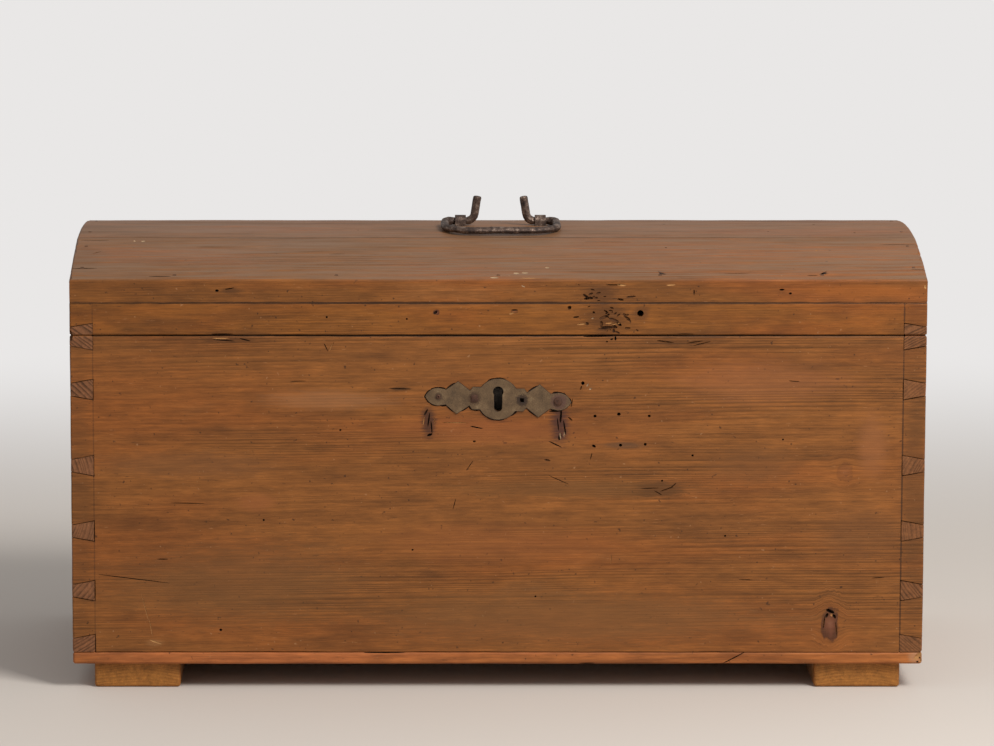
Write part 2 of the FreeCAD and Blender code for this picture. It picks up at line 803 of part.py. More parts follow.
eye_inner = "(dim.rod_radius + dim.staple_fit)"
eye_outer = "(dim.rod_radius + dim.staple_fit + dim.staple_strap)"
top_blank = new_body("top_stave_blank")
top_section = [
    (f"{half_gap} - {mitre_y}", TOP_UNDER_Z),
    (f"{mitre_y} - {half_gap}", TOP_UNDER_Z),
    (f"{seam_y} - {half_gap}", SEAM_Z, crown_radius("dim.top_stave_width", "dim.top_crown")),
    (f"{half_gap} - {seam_y}", SEAM_Z),
]
pad(top_blank, sketch(top_blank, "YZ_Plane", [top_section]), "dim.case_width", both=True)
wear_stave(top_blank, number(SEAM_Z) + TOUCH)
leg_slots = []
for side in (-1, 1):
    for way in (-1, 1):
        near = f"{way} * ({eye_inner} - dim.leg_fit)"
        far = f"{way} * ({eye_outer} + dim.leg_fit)"
        staple_x = f"dim.handle_x + {side} * dim.staple_spread / 2"
        left = f"{staple_x} - dim.staple_width / 2 - dim.leg_fit"
        right = f"{staple_x} + dim.staple_width / 2 + dim.leg_fit"
        leg_slots.append(rectangle(left, near, right, far))
pocket(top_blank, sketch(top_blank, "XY_Plane", leg_slots))
cut("top_stave", top_blank, [stave_holes])

# Strap staples: each goes over the bail's rod, down through the top stave, and is clinched beneath it.

rod_z = f"({CROWN_Z} + dim.bail_lift + dim.rod_radius)"
clinch_y = f"({eye_outer} + dim.staple_clinch)"
foot_z = f"({TOP_UNDER_Z} - dim.staple_strap)"
strap = [
    (f"-{eye_outer}", rod_z),
    (f"-{eye_outer}", TOP_UNDER_Z),
    (f"-{clinch_y}", TOP_UNDER_Z),
    (f"-{clinch_y}", foot_z),
    (f"-{eye_inner}", foot_z),
    (f"-{eye_inner}", rod_z, f"-{eye_inner}"),
    ("0", f"{rod_z} + {eye_inner}", f"-{eye_inner}"),
    (eye_inner, rod_z),
    (eye_inner, foot_z),
    (clinch_y, foot_z),
    (clinch_y, TOP_UNDER_Z),
    (eye_outer, TOP_UNDER_Z),
    (eye_outer, rod_z, eye_outer),
    ("0", f"{rod_z} + {eye_outer}", eye_outer),
]
for name, side in (("left_handle_staple", -1), ("right_handle_staple", 1)):
    staple = new_body(name)
    pad(staple, sketch(staple, "YZ_Plane", [strap]), "dim.staple_width", both=True)
    place(staple, x=f"dim.handle_x + {side} * dim.staple_spread / 2", z=LID_Z)
    keep(staple, name)

# Bail: one round rod. Each end runs in through its staple and turns up as a prong that leans to the middle.

rod = size("rod_radius")
side_x = size("bail_width") / 2 - rod
reach = size("bail_reach") - rod
prong_x = size("prong_spread") / 2
shoulder = size("bail_shoulder")
corner = size("bail_corner")
bend = size("prong_bend")
lean = math.radians(size("prong_lean"))


def prong_tip(side):
    return Vector(side * prong_x, 0, size("prong_height"))


def prong_way(side):
    """The way down a prong, from its tip to its bend."""
    return Vector(side * math.sin(lean), 0, -math.cos(lean))


def bend_edge(start, end, middle, radius):
    """A turn between two points, about a middle at the bend's radius."""
    half_way = ((start + end) / 2 - middle).normalize() * radius + middle
    return Part.Arc(start, half_way, end).toShape()


def bail_half(side):
    tip = prong_tip(side)
    way = prong_way(side)
    foot = tip + way * (size("prong_height") / math.cos(lean))
    bend_room = bend * math.tan((math.pi / 2 - lean) / 2)
    bend_top = foot - way * bend_room
    bend_end = foot + X_AXIS * side * bend_room
    eye_end = Vector(side * (side_x - shoulder), 0, 0)
    arm_start = Vector(side * side_x, -shoulder, 0)
    arm_end = Vector(side * side_x, corner - reach, 0)
    bar_end = Vector(side * (side_x - corner), -reach, 0)
    return [
        Part.LineSegment(tip, bend_top).toShape(),
        bend_edge(bend_top, bend_end, bend_end + Z_AXIS * bend, bend),
        Part.LineSegment(bend_end, eye_end).toShape(),
        bend_edge(eye_end, arm_start, Vector(side * (side_x - shoulder), -shoulder, 0), shoulder),
        Part.LineSegment(arm_start, arm_end).toShape(),
        bend_edge(arm_end, bar_end, Vector(side * (side_x - corner), corner - reach, 0), corner),
    ]


bar_left = Vector(corner - side_x, -reach, 0)
bar_right = Vector(side_x - corner, -reach, 0)
front_bar = Part.LineSegment(bar_left, bar_right).toShape()
route = Part.Wire(bail_half(-1) + [front_bar] + bail_half(1)[::-1])
rod_circle = Part.Wire(Part.Circle(prong_tip(-1), prong_way(-1), rod).toShape())
bar = route.makePipeShell([rod_circle], True, True)
tip_edges = [edge for edge in bar.Edges if edge.BoundBox.ZMin > size("prong_height") - rod]
bail = doc.addObject("Part::Feature", "bail_handle")
bail.Shape = bar.makeFillet(size("prong_tip_round"), tip_edges)
bail.Placement = FreeCAD.Placement(
    Vector(size("handle_x"), 0, lid_z + number(rod_z)), FreeCAD.Rotation(X_AXIS, size("bail_tilt"))
)
keep(bail, "bail_handle")

# Hinges: a case leaf with two knuckles, a lid leaf with one between them, and a pin

axis_y = "(dim.case_depth / 2 + dim.knuckle_radius + dim.hinge_clear)"
axis_z = f"({RIM_Z} + dim.lid_gap / 2)"
plate_lift = "(dim.knuckle_radius + dim.hinge_clear - dim.leaf_thickness)"
leaf_edge = "(dim.knuckle_radius + dim.hinge_clear)"
half_leaf = "dim.hinge_width / 2"
half_tip = "dim.hinge_end_width / 2"
half_middle = "dim.hinge_middle / 2"
outer_knuckle = "(dim.hinge_middle / 2 + dim.knuckle_gap)"
knuckle = ("0", "0", "dim.knuckle_radius")


def round_tip(leaf, tip_z):
    def worn(box):
        across = box.YLength > size("leaf_thickness") - TOUCH and box.XLength < TOUCH
        return across and abs(box.ZMin - tip_z) < TOUCH and abs(box.ZMax - tip_z) < TOUCH

    round_edges(leaf, "dim.leaf_corner", worn)


for prefix, side in (("left", -1), ("right", 1)):
    hinge_x = f"{side} * (dim.case_width / 2 - dim.hinge_inset)"
    case_leaf = new_body(f"{prefix}_hinge_case_leaf_blank")
    case_outline = [
        (f"-{half_tip}", "-dim.hinge_case_drop"),
        (half_tip, "-dim.hinge_case_drop"),
        (half_leaf, f"-{leaf_edge}"),
        (half_leaf, "-dim.lid_gap / 2"),
        (outer_knuckle, "-dim.lid_gap / 2"),
        (outer_knuckle, f"-{leaf_edge}"),
        (f"-{outer_knuckle}", f"-{leaf_edge}"),
        (f"-{outer_knuckle}", "-dim.lid_gap / 2"),
        (f"-{half_leaf}", "-dim.lid_gap / 2"),
        (f"-{half_leaf}", f"-{leaf_edge}"),
    ]
    case_plate = sketch(case_leaf, "XZ_Plane", [case_outline], lift=plate_lift)
    pad(case_leaf, case_plate, "dim.leaf_thickness")
    round_tip(case_leaf, -size("hinge_case_drop"))
    for lift in (outer_knuckle, f"-{half_leaf}"):
        barrel = sketch(case_leaf, "YZ_Plane", [], [knuckle], lift=lift)
        pad(case_leaf, barrel, f"{half_leaf} - {outer_knuckle}")
    pocket(case_leaf, sketch(case_leaf, "YZ_Plane", [], [("0", "0", "dim.hinge_pin_radius")]))
    place(case_leaf, hinge_x, axis_y, axis_z)
    cut(f"{prefix}_hinge_case_leaf", case_leaf, [case_hinge_holes])

    lid_leaf = new_body(f"{prefix}_hinge_lid_leaf_blank")
    lid_outline = [
        (f"-{half_middle}", "dim.lid_gap / 2"),
        (half_middle, "dim.lid_gap / 2"),
        (half_middle, leaf_edge),
        (half_leaf, leaf_edge),
        (half_tip, "dim.hinge_lid_rise"),
        (f"-{half_tip}", "dim.hinge_lid_rise"),
        (f"-{half_leaf}", leaf_edge),
        (f"-{half_middle}", leaf_edge),
    ]
    lid_plate = sketch(lid_leaf, "XZ_Plane", [lid_outline], lift=plate_lift)
    pad(lid_leaf, lid_plate, "dim.leaf_thickness")
    round_tip(lid_leaf, size("hinge_lid_rise"))
    pad(lid_leaf, sketch(lid_leaf, "YZ_Plane", [], [knuckle]), "dim.hinge_middle", both=True)
    pin_bore = ("0", "0", "dim.hinge_pin_radius + dim.hinge_pin_fit")
    pocket(lid_leaf, sketch(lid_leaf, "YZ_Plane", [], [pin_bore]))
    place(lid_leaf, hinge_x, axis_y, axis_z)
    cut(f"{prefix}_hinge_lid_leaf", lid_leaf, [lid_hinge_holes])

    pin = new_body(f"{prefix}_hinge_pin")
    pin_section = sketch(pin, "YZ_Plane", [], [("0", "0", "dim.hinge_pin_radius")])
    pad(pin, pin_section, "dim.hinge_width + 2 * dim.hinge_pin_proud", both=True)
    round_edges(pin, "dim.hinge_pin_proud / 2", lambda box: box.XLength < TOUCH)
    place(pin, hinge_x, axis_y, axis_z)
    keep(pin, f"{prefix}_hinge_pin")

# Escutcheon: a disc round the keyhole, a bar, a diamond and a pointed lobe on each side

disc_join = "sqrt(dim.disc_radius^2 - dim.bar_half^2)"
quarter = [
    ("dim.escutcheon_half", "0", "dim.lobe_radius"),
    ("dim.lobe_x", "dim.lobe_half"),
    ("dim.outer_notch_x", "dim.notch_half"),
    ("dim.diamond_x", "dim.diamond_half"),
    ("dim.inner_notch_x", "dim.notch_half"),
    ("dim.bar_end", "dim.bar_half"),
    (disc_join, "dim.bar_half", "dim.disc_radius"),
]
left_quarter = [(f"-{x}", y) for x, y, *arc in quarter[:0:-1]]
left_quarter[-1] = (*left_quarter[-1], "dim.lobe_radius")
upper = quarter + left_quarter
lower = [(f"-{x}", f"-({y})", *arc) for x, y, *arc in quarter]
lower_right = [(x, f"-({y})") for x, y, *arc in quarter[:0:-1]]
lower_right[-1] = (*lower_right[-1], "dim.lobe_radius")
plate = new_body("escutcheon_blank")
pad(plate, sketch(plate, "XZ_Plane", [upper + lower + lower_right]), "dim.escutcheon_thickness")
empty_hole = rectangle(
    "dim.plate_nail_inner - dim.plate_nail_shank",
    "-dim.plate_nail_shank",
    "dim.plate_nail_inner + dim.plate_nail_shank",
    "dim.plate_nail_shank",
)
pocket(plate, sketch(plate, "XZ_Plane", [empty_hole]))
place(plate, y="-dim.case_depth / 2", z=f"{RIM_Z} - dim.key_drop")
turn = FreeCAD.Rotation(Y_AXIS, size("escutcheon_tilt"))
plate.Placement = FreeCAD.Placement(plate.Placement.Base, turn)
cut("escutcheon", plate, [keyhole, plate_holes])

# Chest lock, let into the front board from inside

lock_plate = new_body("lock_plate_blank")
cover = rectangle("-dim.lock_plate_width / 2", "-dim.lock_plate_height", "dim.lock_plate_width / 2", "0")
pad(lock_plate, sketch(lock_plate, "XZ_Plane", [cover]), "dim.lock_wall", reverse=True)
case_side = "(dim.lock_width / 2 - dim.lock_fit)"
flange = rectangle(f"-{case_side}", "dim.lock_fit - dim.lock_depth", case_side, "0")
pad(lock_plate, sketch(lock_plate, "XY_Plane", [flange]), "dim.lock_wall", reverse=True)
loop_half = "(dim.bolt_thickness / 2 + dim.loop_clear + dim.loop_wall)"
slot = rectangle(
    "dim.catch_x - dim.loop_thickness / 2 - dim.slot_clear",
    f"-{LOCK_MIDDLE} - {loop_half} - dim.slot_clear",
    "dim.catch_x + dim.loop_thickness / 2 + dim.slot_clear",
    f"-{LOCK_MIDDLE} + {loop_half} + dim.slot_clear",
)
pocket(lock_plate, sketch(lock_plate, "XY_Plane", [slot]))
place(lock_plate, y=INNER_Y, z=RIM_Z)
cut("lock_plate", lock_plate, [lock_holes])

lock_case = new_body("lock_case_blank")
case_foot = "(dim.lock_fit - dim.lock_height)"
shell = rectangle(f"-{case_side}", case_foot, case_side, "-dim.lock_wall")
pad(lock_case, sketch(lock_case, "XZ_Plane", [shell]), "dim.lock_depth - dim.lock_fit")
hollow_side = f"({case_side} - dim.lock_wall)"
hollow = rectangle(f"-{hollow_side}", f"{case_foot} + dim.lock_wall", hollow_side, "-dim.lock_wall")
hollow_depth = "dim.lock_depth - dim.lock_fit - dim.lock_wall"
pocket(lock_case, sketch(lock_case, "XZ_Plane", [hollow]), hollow_depth, reverse=True)
place(lock_case, y=INNER_Y, z=RIM_Z)
cut("lock_case", lock_case, [keyhole])

# The bolt rests drawn back. Its slots ride on two guide pins, and the key works in the talon's notch.
bolt = new_body("lock_bolt")
nose = "(dim.catch_x - dim.loop_thickness / 2 - dim.bolt_rest_gap)"
tail = f"({nose} - dim.bolt_length)"
half_bolt = "dim.bolt_height / 2"
talon_middle = "(-dim.bolt_throw / 2)"
talon_foot = "(dim.key_drop - dim.key_head_rise - dim.bolt_drop - dim.talon_clear)"
bolt_outline = [
    (tail, f"-{half_bolt}"),
    (f"{talon_middle} - dim.talon_width / 2", f"-{half_bolt}"),
    (f"{talon_middle} - dim.talon_width / 2", f"-{talon_foot}"),
    (f"{talon_middle} - dim.talon_notch_width / 2", f"-{talon_foot}"),
    (f"{talon_middle} - dim.talon_notch_width / 2", f"dim.talon_notch_height - {talon_foot}"),
    (f"{talon_middle} + dim.talon_notch_width / 2", f"dim.talon_notch_height - {talon_foot}"),
    (f"{talon_middle} + dim.talon_notch_width / 2", f"-{talon_foot}"),
    (f"{talon_middle} + dim.talon_width / 2", f"-{talon_foot}"),
    (f"{talon_middle} + dim.talon_width / 2", f"-{half_bolt}"),
    (nose, f"-{half_bolt}"),
    (nose, half_bolt),
    (tail, half_bolt),
]
pad(bolt, sketch(bolt, "XZ_Plane", [bolt_outline]), "dim.bolt_thickness", both=True)
guide_room = "(dim.guide_radius + dim.guide_fit)"
guide_slots = []
for guide_x in ("dim.guide_first_x", "dim.guide_second_x"):
    left = f"{guide_x} - dim.bolt_throw - {guide_room}"
    guide_slots.append(rectangle(left, f"-{guide_room}", f"{guide_x} + {guide_room}", guide_room))
pocket(bolt, sketch(bolt, "XZ_Plane", guide_slots))
place(bolt, y=catch_middle, z=f"{RIM_Z} - dim.bolt_drop")
keep(bolt, "lock_bolt")

guides = []
for guide_x in ("dim.guide_first_x", "dim.guide_second_x"):
    guide = doc.addObject("Part::Cylinder", "guide")
    guide.setExpression("Radius", "dim.guide_radius")
    guide.setExpression("Height", hollow_depth)
    guide.Placement = FreeCAD.Placement(Vector(), FreeCAD.Rotation(X_AXIS, 90))
    place(guide, guide_x, INNER_Y, f"{RIM_Z} - dim.bolt_drop")
    guides.append(guide)
guide_pins = doc.addObject("Part::Compound", "lock_guide_pins")
guide_pins.Links = guides
keep(guide_pins, "lock_guide_pins")

key_pin = doc.addObject("Part::Cylinder", "lock_key_pin")
key_pin.setExpression("Radius", "dim.key_pin_radius")
key_pin.setExpression("Height", "dim.key_pin_length")
key_pin.Placement = FreeCAD.Placement(Vector(), FreeCAD.Rotation(X_AXIS, 90))
place(key_pin, "0", INNER_Y, f"{RIM_Z} - dim.key_drop + dim.key_head_rise")
keep(key_pin, "lock_key_pin")

# A bowed leaf spring under the flange bears down on the bolt.
spring = new_body("lock_spring")
spring_end = "(dim.spring_start_x + dim.spring_length)"
spring_room = f"(dim.bolt_drop - {half_bolt} - dim.lock_wall)"
sag = f"({spring_room} - dim.spring_strip - dim.spring_clear)"
bow = f"((dim.spring_length / 2)^2 + {sag}^2) / (2 * {sag})"
strip = [
    ("dim.spring_start_x", "-dim.lock_wall - dim.spring_strip", bow),
    (spring_end, "-dim.lock_wall - dim.spring_strip"),
    (spring_end, "-dim.lock_wall", f"-{bow}"),
    ("dim.spring_start_x", "-dim.lock_wall"),
]
pad(spring, sketch(spring, "XZ_Plane", [strip]), "dim.spring_width", both=True)
place(spring, y=catch_middle, z=RIM_Z)
keep(spring, "lock_spring")

# The catch: a plate let into the underside of the front rail, and a loop that drops into the lock. The loop's
# legs are riveted through the plate.
loop_room = "(dim.bolt_thickness / 2 + dim.loop_clear)"
loop_low = f"(dim.lid_gap + dim.bolt_drop + {half_bolt} + dim.loop_clear)"
catch = new_body("lid_catch_blank")
catch_plate = rectangle(
    "-dim.catch_length / 2", "-dim.catch_width / 2", "dim.catch_length / 2", "dim.catch_width / 2"
)
pad(catch, sketch(catch, "XY_Plane", [catch_plate]), "dim.catch_thickness")
rivet_side = "(dim.loop_thickness / 2 + dim.leg_fit)"
rivet_near = f"({loop_room} - dim.leg_fit)"
rivet_far = f"({loop_half} + dim.leg_fit)"
rivet_slots = [
    rectangle(f"-{rivet_side}", f"-{rivet_far}", rivet_side, f"-{rivet_near}"),
    rectangle(f"-{rivet_side}", rivet_near, rivet_side, rivet_far),
]
pocket(catch, sketch(catch, "XY_Plane", rivet_slots))
place(catch, "dim.catch_x", catch_middle, LID_Z)
cut("lid_catch", catch, [catch_holes])

loop = new_body("catch_loop")
loop_strap = [
    (f"-{loop_half}", f"-{loop_low} - dim.loop_wall"),
    (loop_half, f"-{loop_low} - dim.loop_wall"),
    (loop_half, "dim.catch_thickness"),
    (loop_room, "dim.catch_thickness"),
    (loop_room, f"-{loop_low}"),
    (f"-{loop_room}", f"-{loop_low}"),
    (f"-{loop_room}", "dim.catch_thickness"),
    (f"-{loop_half}", "dim.catch_thickness"),
]
pad(loop, sketch(loop, "YZ_Plane", [loop_strap]), "dim.loop_thickness", both=True)
place(loop, "dim.catch_x", catch_middle, LID_Z)
keep(loop, "catch_loop")

doc.recompute()

for item in doc.Objects:
    if "Invalid" in item.State or "Error" in item.State:
        raise RuntimeError(f"{item.Label} did not build")
for item in subparts:
    if item.Shape.isNull() or not item.Shape.isValid():
        raise RuntimeError(f"{item.Label} has no valid shape")

os.makedirs("parts", exist_ok=True)
for item in subparts:
    item.Shape.exportStep(f"parts/{item.Label}.step")
    print(item.Label, len(item.Shape.Solids), round(item.Shape.Volume))
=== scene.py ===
import json
import math
import random
from functools import partial

import bpy
from mathutils import Matrix, Vector
from mathutils.kdtree import KDTree


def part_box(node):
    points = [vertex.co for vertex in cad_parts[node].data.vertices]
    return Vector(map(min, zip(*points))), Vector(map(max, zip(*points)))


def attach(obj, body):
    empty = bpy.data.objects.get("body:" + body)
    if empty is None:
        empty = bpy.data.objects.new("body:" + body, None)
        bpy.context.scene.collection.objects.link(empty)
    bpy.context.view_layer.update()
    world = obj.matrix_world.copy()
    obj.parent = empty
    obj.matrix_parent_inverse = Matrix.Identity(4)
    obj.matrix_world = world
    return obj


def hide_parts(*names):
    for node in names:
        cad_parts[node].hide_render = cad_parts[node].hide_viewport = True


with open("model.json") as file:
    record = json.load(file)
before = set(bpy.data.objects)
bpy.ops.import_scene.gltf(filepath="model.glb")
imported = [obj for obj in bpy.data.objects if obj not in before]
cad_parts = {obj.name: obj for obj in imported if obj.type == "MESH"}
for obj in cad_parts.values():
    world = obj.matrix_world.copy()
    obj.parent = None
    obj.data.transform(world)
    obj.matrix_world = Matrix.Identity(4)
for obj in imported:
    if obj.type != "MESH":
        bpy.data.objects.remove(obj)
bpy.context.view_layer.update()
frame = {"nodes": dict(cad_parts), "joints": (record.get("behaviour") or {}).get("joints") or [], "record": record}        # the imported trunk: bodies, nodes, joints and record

nodes = frame["nodes"]
joints = {joint["name"]: joint for joint in frame["joints"]}
bodyOf = {node: body for body, members in frame["record"]["behaviour"]["bodies"].items() for node in members}
slotOf = {row["node"]: row["material_slot"] for row in frame["record"]["subparts"]}
mm = 0.001
weld = 0.01 * mm
print("frame loaded:", len(nodes), "nodes")


# small tools

def hexColour(code):
    parts = [int(code[i:i + 2], 16) / 255 for i in (1, 3, 5)]
    linear = [p / 12.92 if p <= 0.04045 else ((p + 0.055) / 1.055) ** 2.4 for p in parts]
    return (*linear, 1)


def addNode(tree, kind, inputs=None, out=0, stops=None, **settings):
    node = tree.nodes.new("ShaderNode" + kind)
    for name, value in settings.items():
        setattr(node, name, value)
    if stops:
        ramp = node.color_ramp
        for _ in stops[2:]:
            ramp.elements.new(0.5)
        for element, (place, colour) in zip(ramp.elements, stops):
            element.position = place
            element.color = hexColour(colour) if isinstance(colour, str) else (colour, colour, colour, 1)
    for key, value in (inputs or {}).items():
        if isinstance(value, bpy.types.NodeSocket):
            tree.links.new(value, node.inputs[key])
        else:
            node.inputs[key].default_value = hexColour(value) if isinstance(value, str) else value
    return node if out is None else node.outputs[out]


def newMaterial(name):
    material = bpy.data.materials.new(name)
    material.use_nodes = True
    material.node_tree.nodes.clear()
    return material, partial(addNode, material.node_tree)


# lays a colour over what is under it, from none where the source is at start to its share at full
def layOver(add, under, source, start, full, share, colour, ease="SMOOTHSTEP"):
    cover = add("MapRange", {0: source, 1: start, 2: full, 4: share}, interpolation_type=ease)
    return add("MixRGB", {0: cover, 1: under, 2: colour})


def pickOnly(piece):
    bpy.ops.object.select_all(action="DESELECT")
    piece.select_set(True)
    bpy.context.view_layer.objects.active = piece


def setMode(mode):
    bpy.ops.object.mode_set(mode=mode)


def joinPieces(pieces):
    pickOnly(pieces[0])
    for piece in pieces:
        piece.select_set(True)
    bpy.ops.object.join()
    return pieces[0]


def groupPoints(piece, name, fits):
    group = piece.vertex_groups.new(name=name)
    group.add([point.index for point in piece.data.vertices if fits(point)], 1.0, "REPLACE")


def applyModifier(piece, kind, **settings):
    pickOnly(piece)
    modifier = piece.modifiers.new(kind.lower(), kind)
    for name, value in settings.items():
        setattr(modifier, name, value)
    bpy.ops.object.modifier_apply(modifier=modifier.name)


def copyNode(nodeName, pieceName):
    piece = bpy.data.objects.new(pieceName, nodes[nodeName].data.copy())
    bpy.context.scene.collection.objects.link(piece)
    piece.data.materials.clear()
    pickOnly(piece)
    bpy.ops.mesh.customdata_custom_splitnormals_clear()
    setMode("EDIT")
    bpy.ops.mesh.select_mode(type="EDGE")
    bpy.ops.mesh.select_all(action="SELECT")
    bpy.ops.mesh.remove_doubles(threshold=weld)
    bpy.ops.mesh.dissolve_limited(angle_limit=math.radians(0.5))
    setMode("OBJECT")
    return piece


def fileEdges(piece, reach, angle, **settings):
    applyModifier(piece, "BEVEL", width=reach * mm, segments=2, limit_method="ANGLE",
                  angle_limit=math.radians(angle), **settings)


def corners(piece):
    spots = [point.co for point in piece.data.vertices]
    return [Vector([end(spot[i] for spot in spots) for i in range(3)]) for end in (min, max)]


def cutGrid(piece, pitch):
    low, high = corners(piece)
    pickOnly(piece)
    setMode("EDIT")
    for i, normal in enumerate(((1, 0, 0), (0, 1, 0), (0, 0, 1))):
        steps = int((high[i] - low[i]) / (pitch * mm))
        for step in range(1, steps + 1):
            point = low.copy()
            point[i] += (high[i] - low[i]) * step / (steps + 1)
            bpy.ops.mesh.select_all(action="SELECT")
            bpy.ops.mesh.bisect(plane_co=point, plane_no=normal)
    setMode("OBJECT")


def waver(piece, grit, height, group="", middle=0.5):
    clouds = bpy.data.textures.new(piece.name + "Clouds", "CLOUDS")
    clouds.noise_scale = grit * mm
    clouds.noise_depth = 2
    applyModifier(piece, "DISPLACE", texture=clouds, texture_coords="LOCAL", strength=height * mm,
                  mid_level=middle, vertex_group=group)


def settle(piece, nodeName, angle=32):
    pickOnly(piece)
    bpy.ops.object.shade_smooth_by_angle(angle=math.radians(angle))
    applyModifier(piece, "WEIGHTED_NORMAL", keep_sharp=True)
    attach(piece, bodyOf[nodeName])
    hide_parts(nodeName)


# camera: a long lens a little above the lid, its frame shifted as the picture is cropped
cameraLook = {"lens": 171.67, "shiftX": 0.0926, "place": (-0.098, -5.139, 1.049), "pitchDown": 8.2,
              "sight": 100}
bpy.ops.object.camera_add(
    location=cameraLook["place"], rotation=(math.radians(90 - cameraLook["pitchDown"]), 0, 0)
)
camera = bpy.context.object
camera.data.lens = cameraLook["lens"]
camera.data.shift_x = cameraLook["shiftX"]
camera.data.clip_end = cameraLook["sight"]
bpy.context.scene.camera = camera
bpy.context.scene.view_settings.view_transform = "Standard"

# pale studio floor that runs on as the background
floorLook = {"size": 60, "near": "#cbc4bd", "far": "#e9e7e6", "fadeFrom": 0.5, "fadeTo": 2.4}
bpy.ops.mesh.primitive_plane_add(size=floorLook["size"])
studioFloor = bpy.context.object
studioFloor.name = "studioFloor"
floorPaint, add = newMaterial("matt painted studio floor")
spot = add("TexCoord", out=3)
depth = add("SeparateXYZ", {0: spot}, out=1)
fade = add("MapRange", {0: depth, 1: floorLook["fadeFrom"], 2: floorLook["fadeTo"]},
           interpolation_type="SMOOTHSTEP")
paint = add("BsdfPrincipled", {"Base Color": floorLook["near"], "Roughness": 0.85})
glow = add("Emission", {"Color": floorLook["far"], "Strength": 1.0})
rays = add("LightPath", out=None)
seen = add("Math", {0: rays.outputs["Is Camera Ray"], 1: rays.outputs["Is Glossy Ray"]}, operation="MAXIMUM")
share = add("Math", {0: fade, 1: seen}, operation="MULTIPLY")
mixed = add("MixShader", {0: share, 1: paint, 2: glow})
add("OutputMaterial", {"Surface": mixed}, out=None)
studioFloor.data.materials.append(floorPaint)

# soft studio light: an even white room and one broad lamp from the right
lightLook = {"room": 0.55, "roomColour": "#f6f4f2", "lampPower": 120, "lampSize": 1.3,
             "lampColour": (1.0, 0.965, 0.92), "lampPlace": (1.75, -2.1, 2.6), "aim": (0, 0, 0.2)}
world = bpy.data.worlds.new("evenRoom")
bpy.context.scene.world = world
world.use_nodes = True
room = world.node_tree.nodes["Background"]
room.inputs["Color"].default_value = hexColour(lightLook["roomColour"])
room.inputs["Strength"].default_value = lightLook["room"]
bpy.ops.object.light_add(type="AREA", location=lightLook["lampPlace"])
lamp = bpy.context.object
lamp.data.size = lightLook["lampSize"]
lamp.data.energy = lightLook["lampPower"]
lamp.data.color = lightLook["lampColour"]
way = Vector(lightLook["aim"]) - lamp.location
lamp.rotation_euler = way.to_track_quat("-Z", "Y").to_euler()
print("camera, floor and light set")


# noise drawn out along the grain: length and width of a blotch in mm, detail, roughness, draw (0: plain)
grainNoise = {
    "dull": (330, 55, 3, 0.5, 5), "zone": (340, 70, 4, 0.5, 7), "patch": (190, 38, 7, 0.62, 11),
    "streak": (110, 3.4, 4, 0.6, 0), "fibre": (16, 1.2, 4, 0.65, 0), "dapple": (30, 9, 5, 0.5, 13),
    "dash": (11, 1.5, 2, 0.5, 3),
}


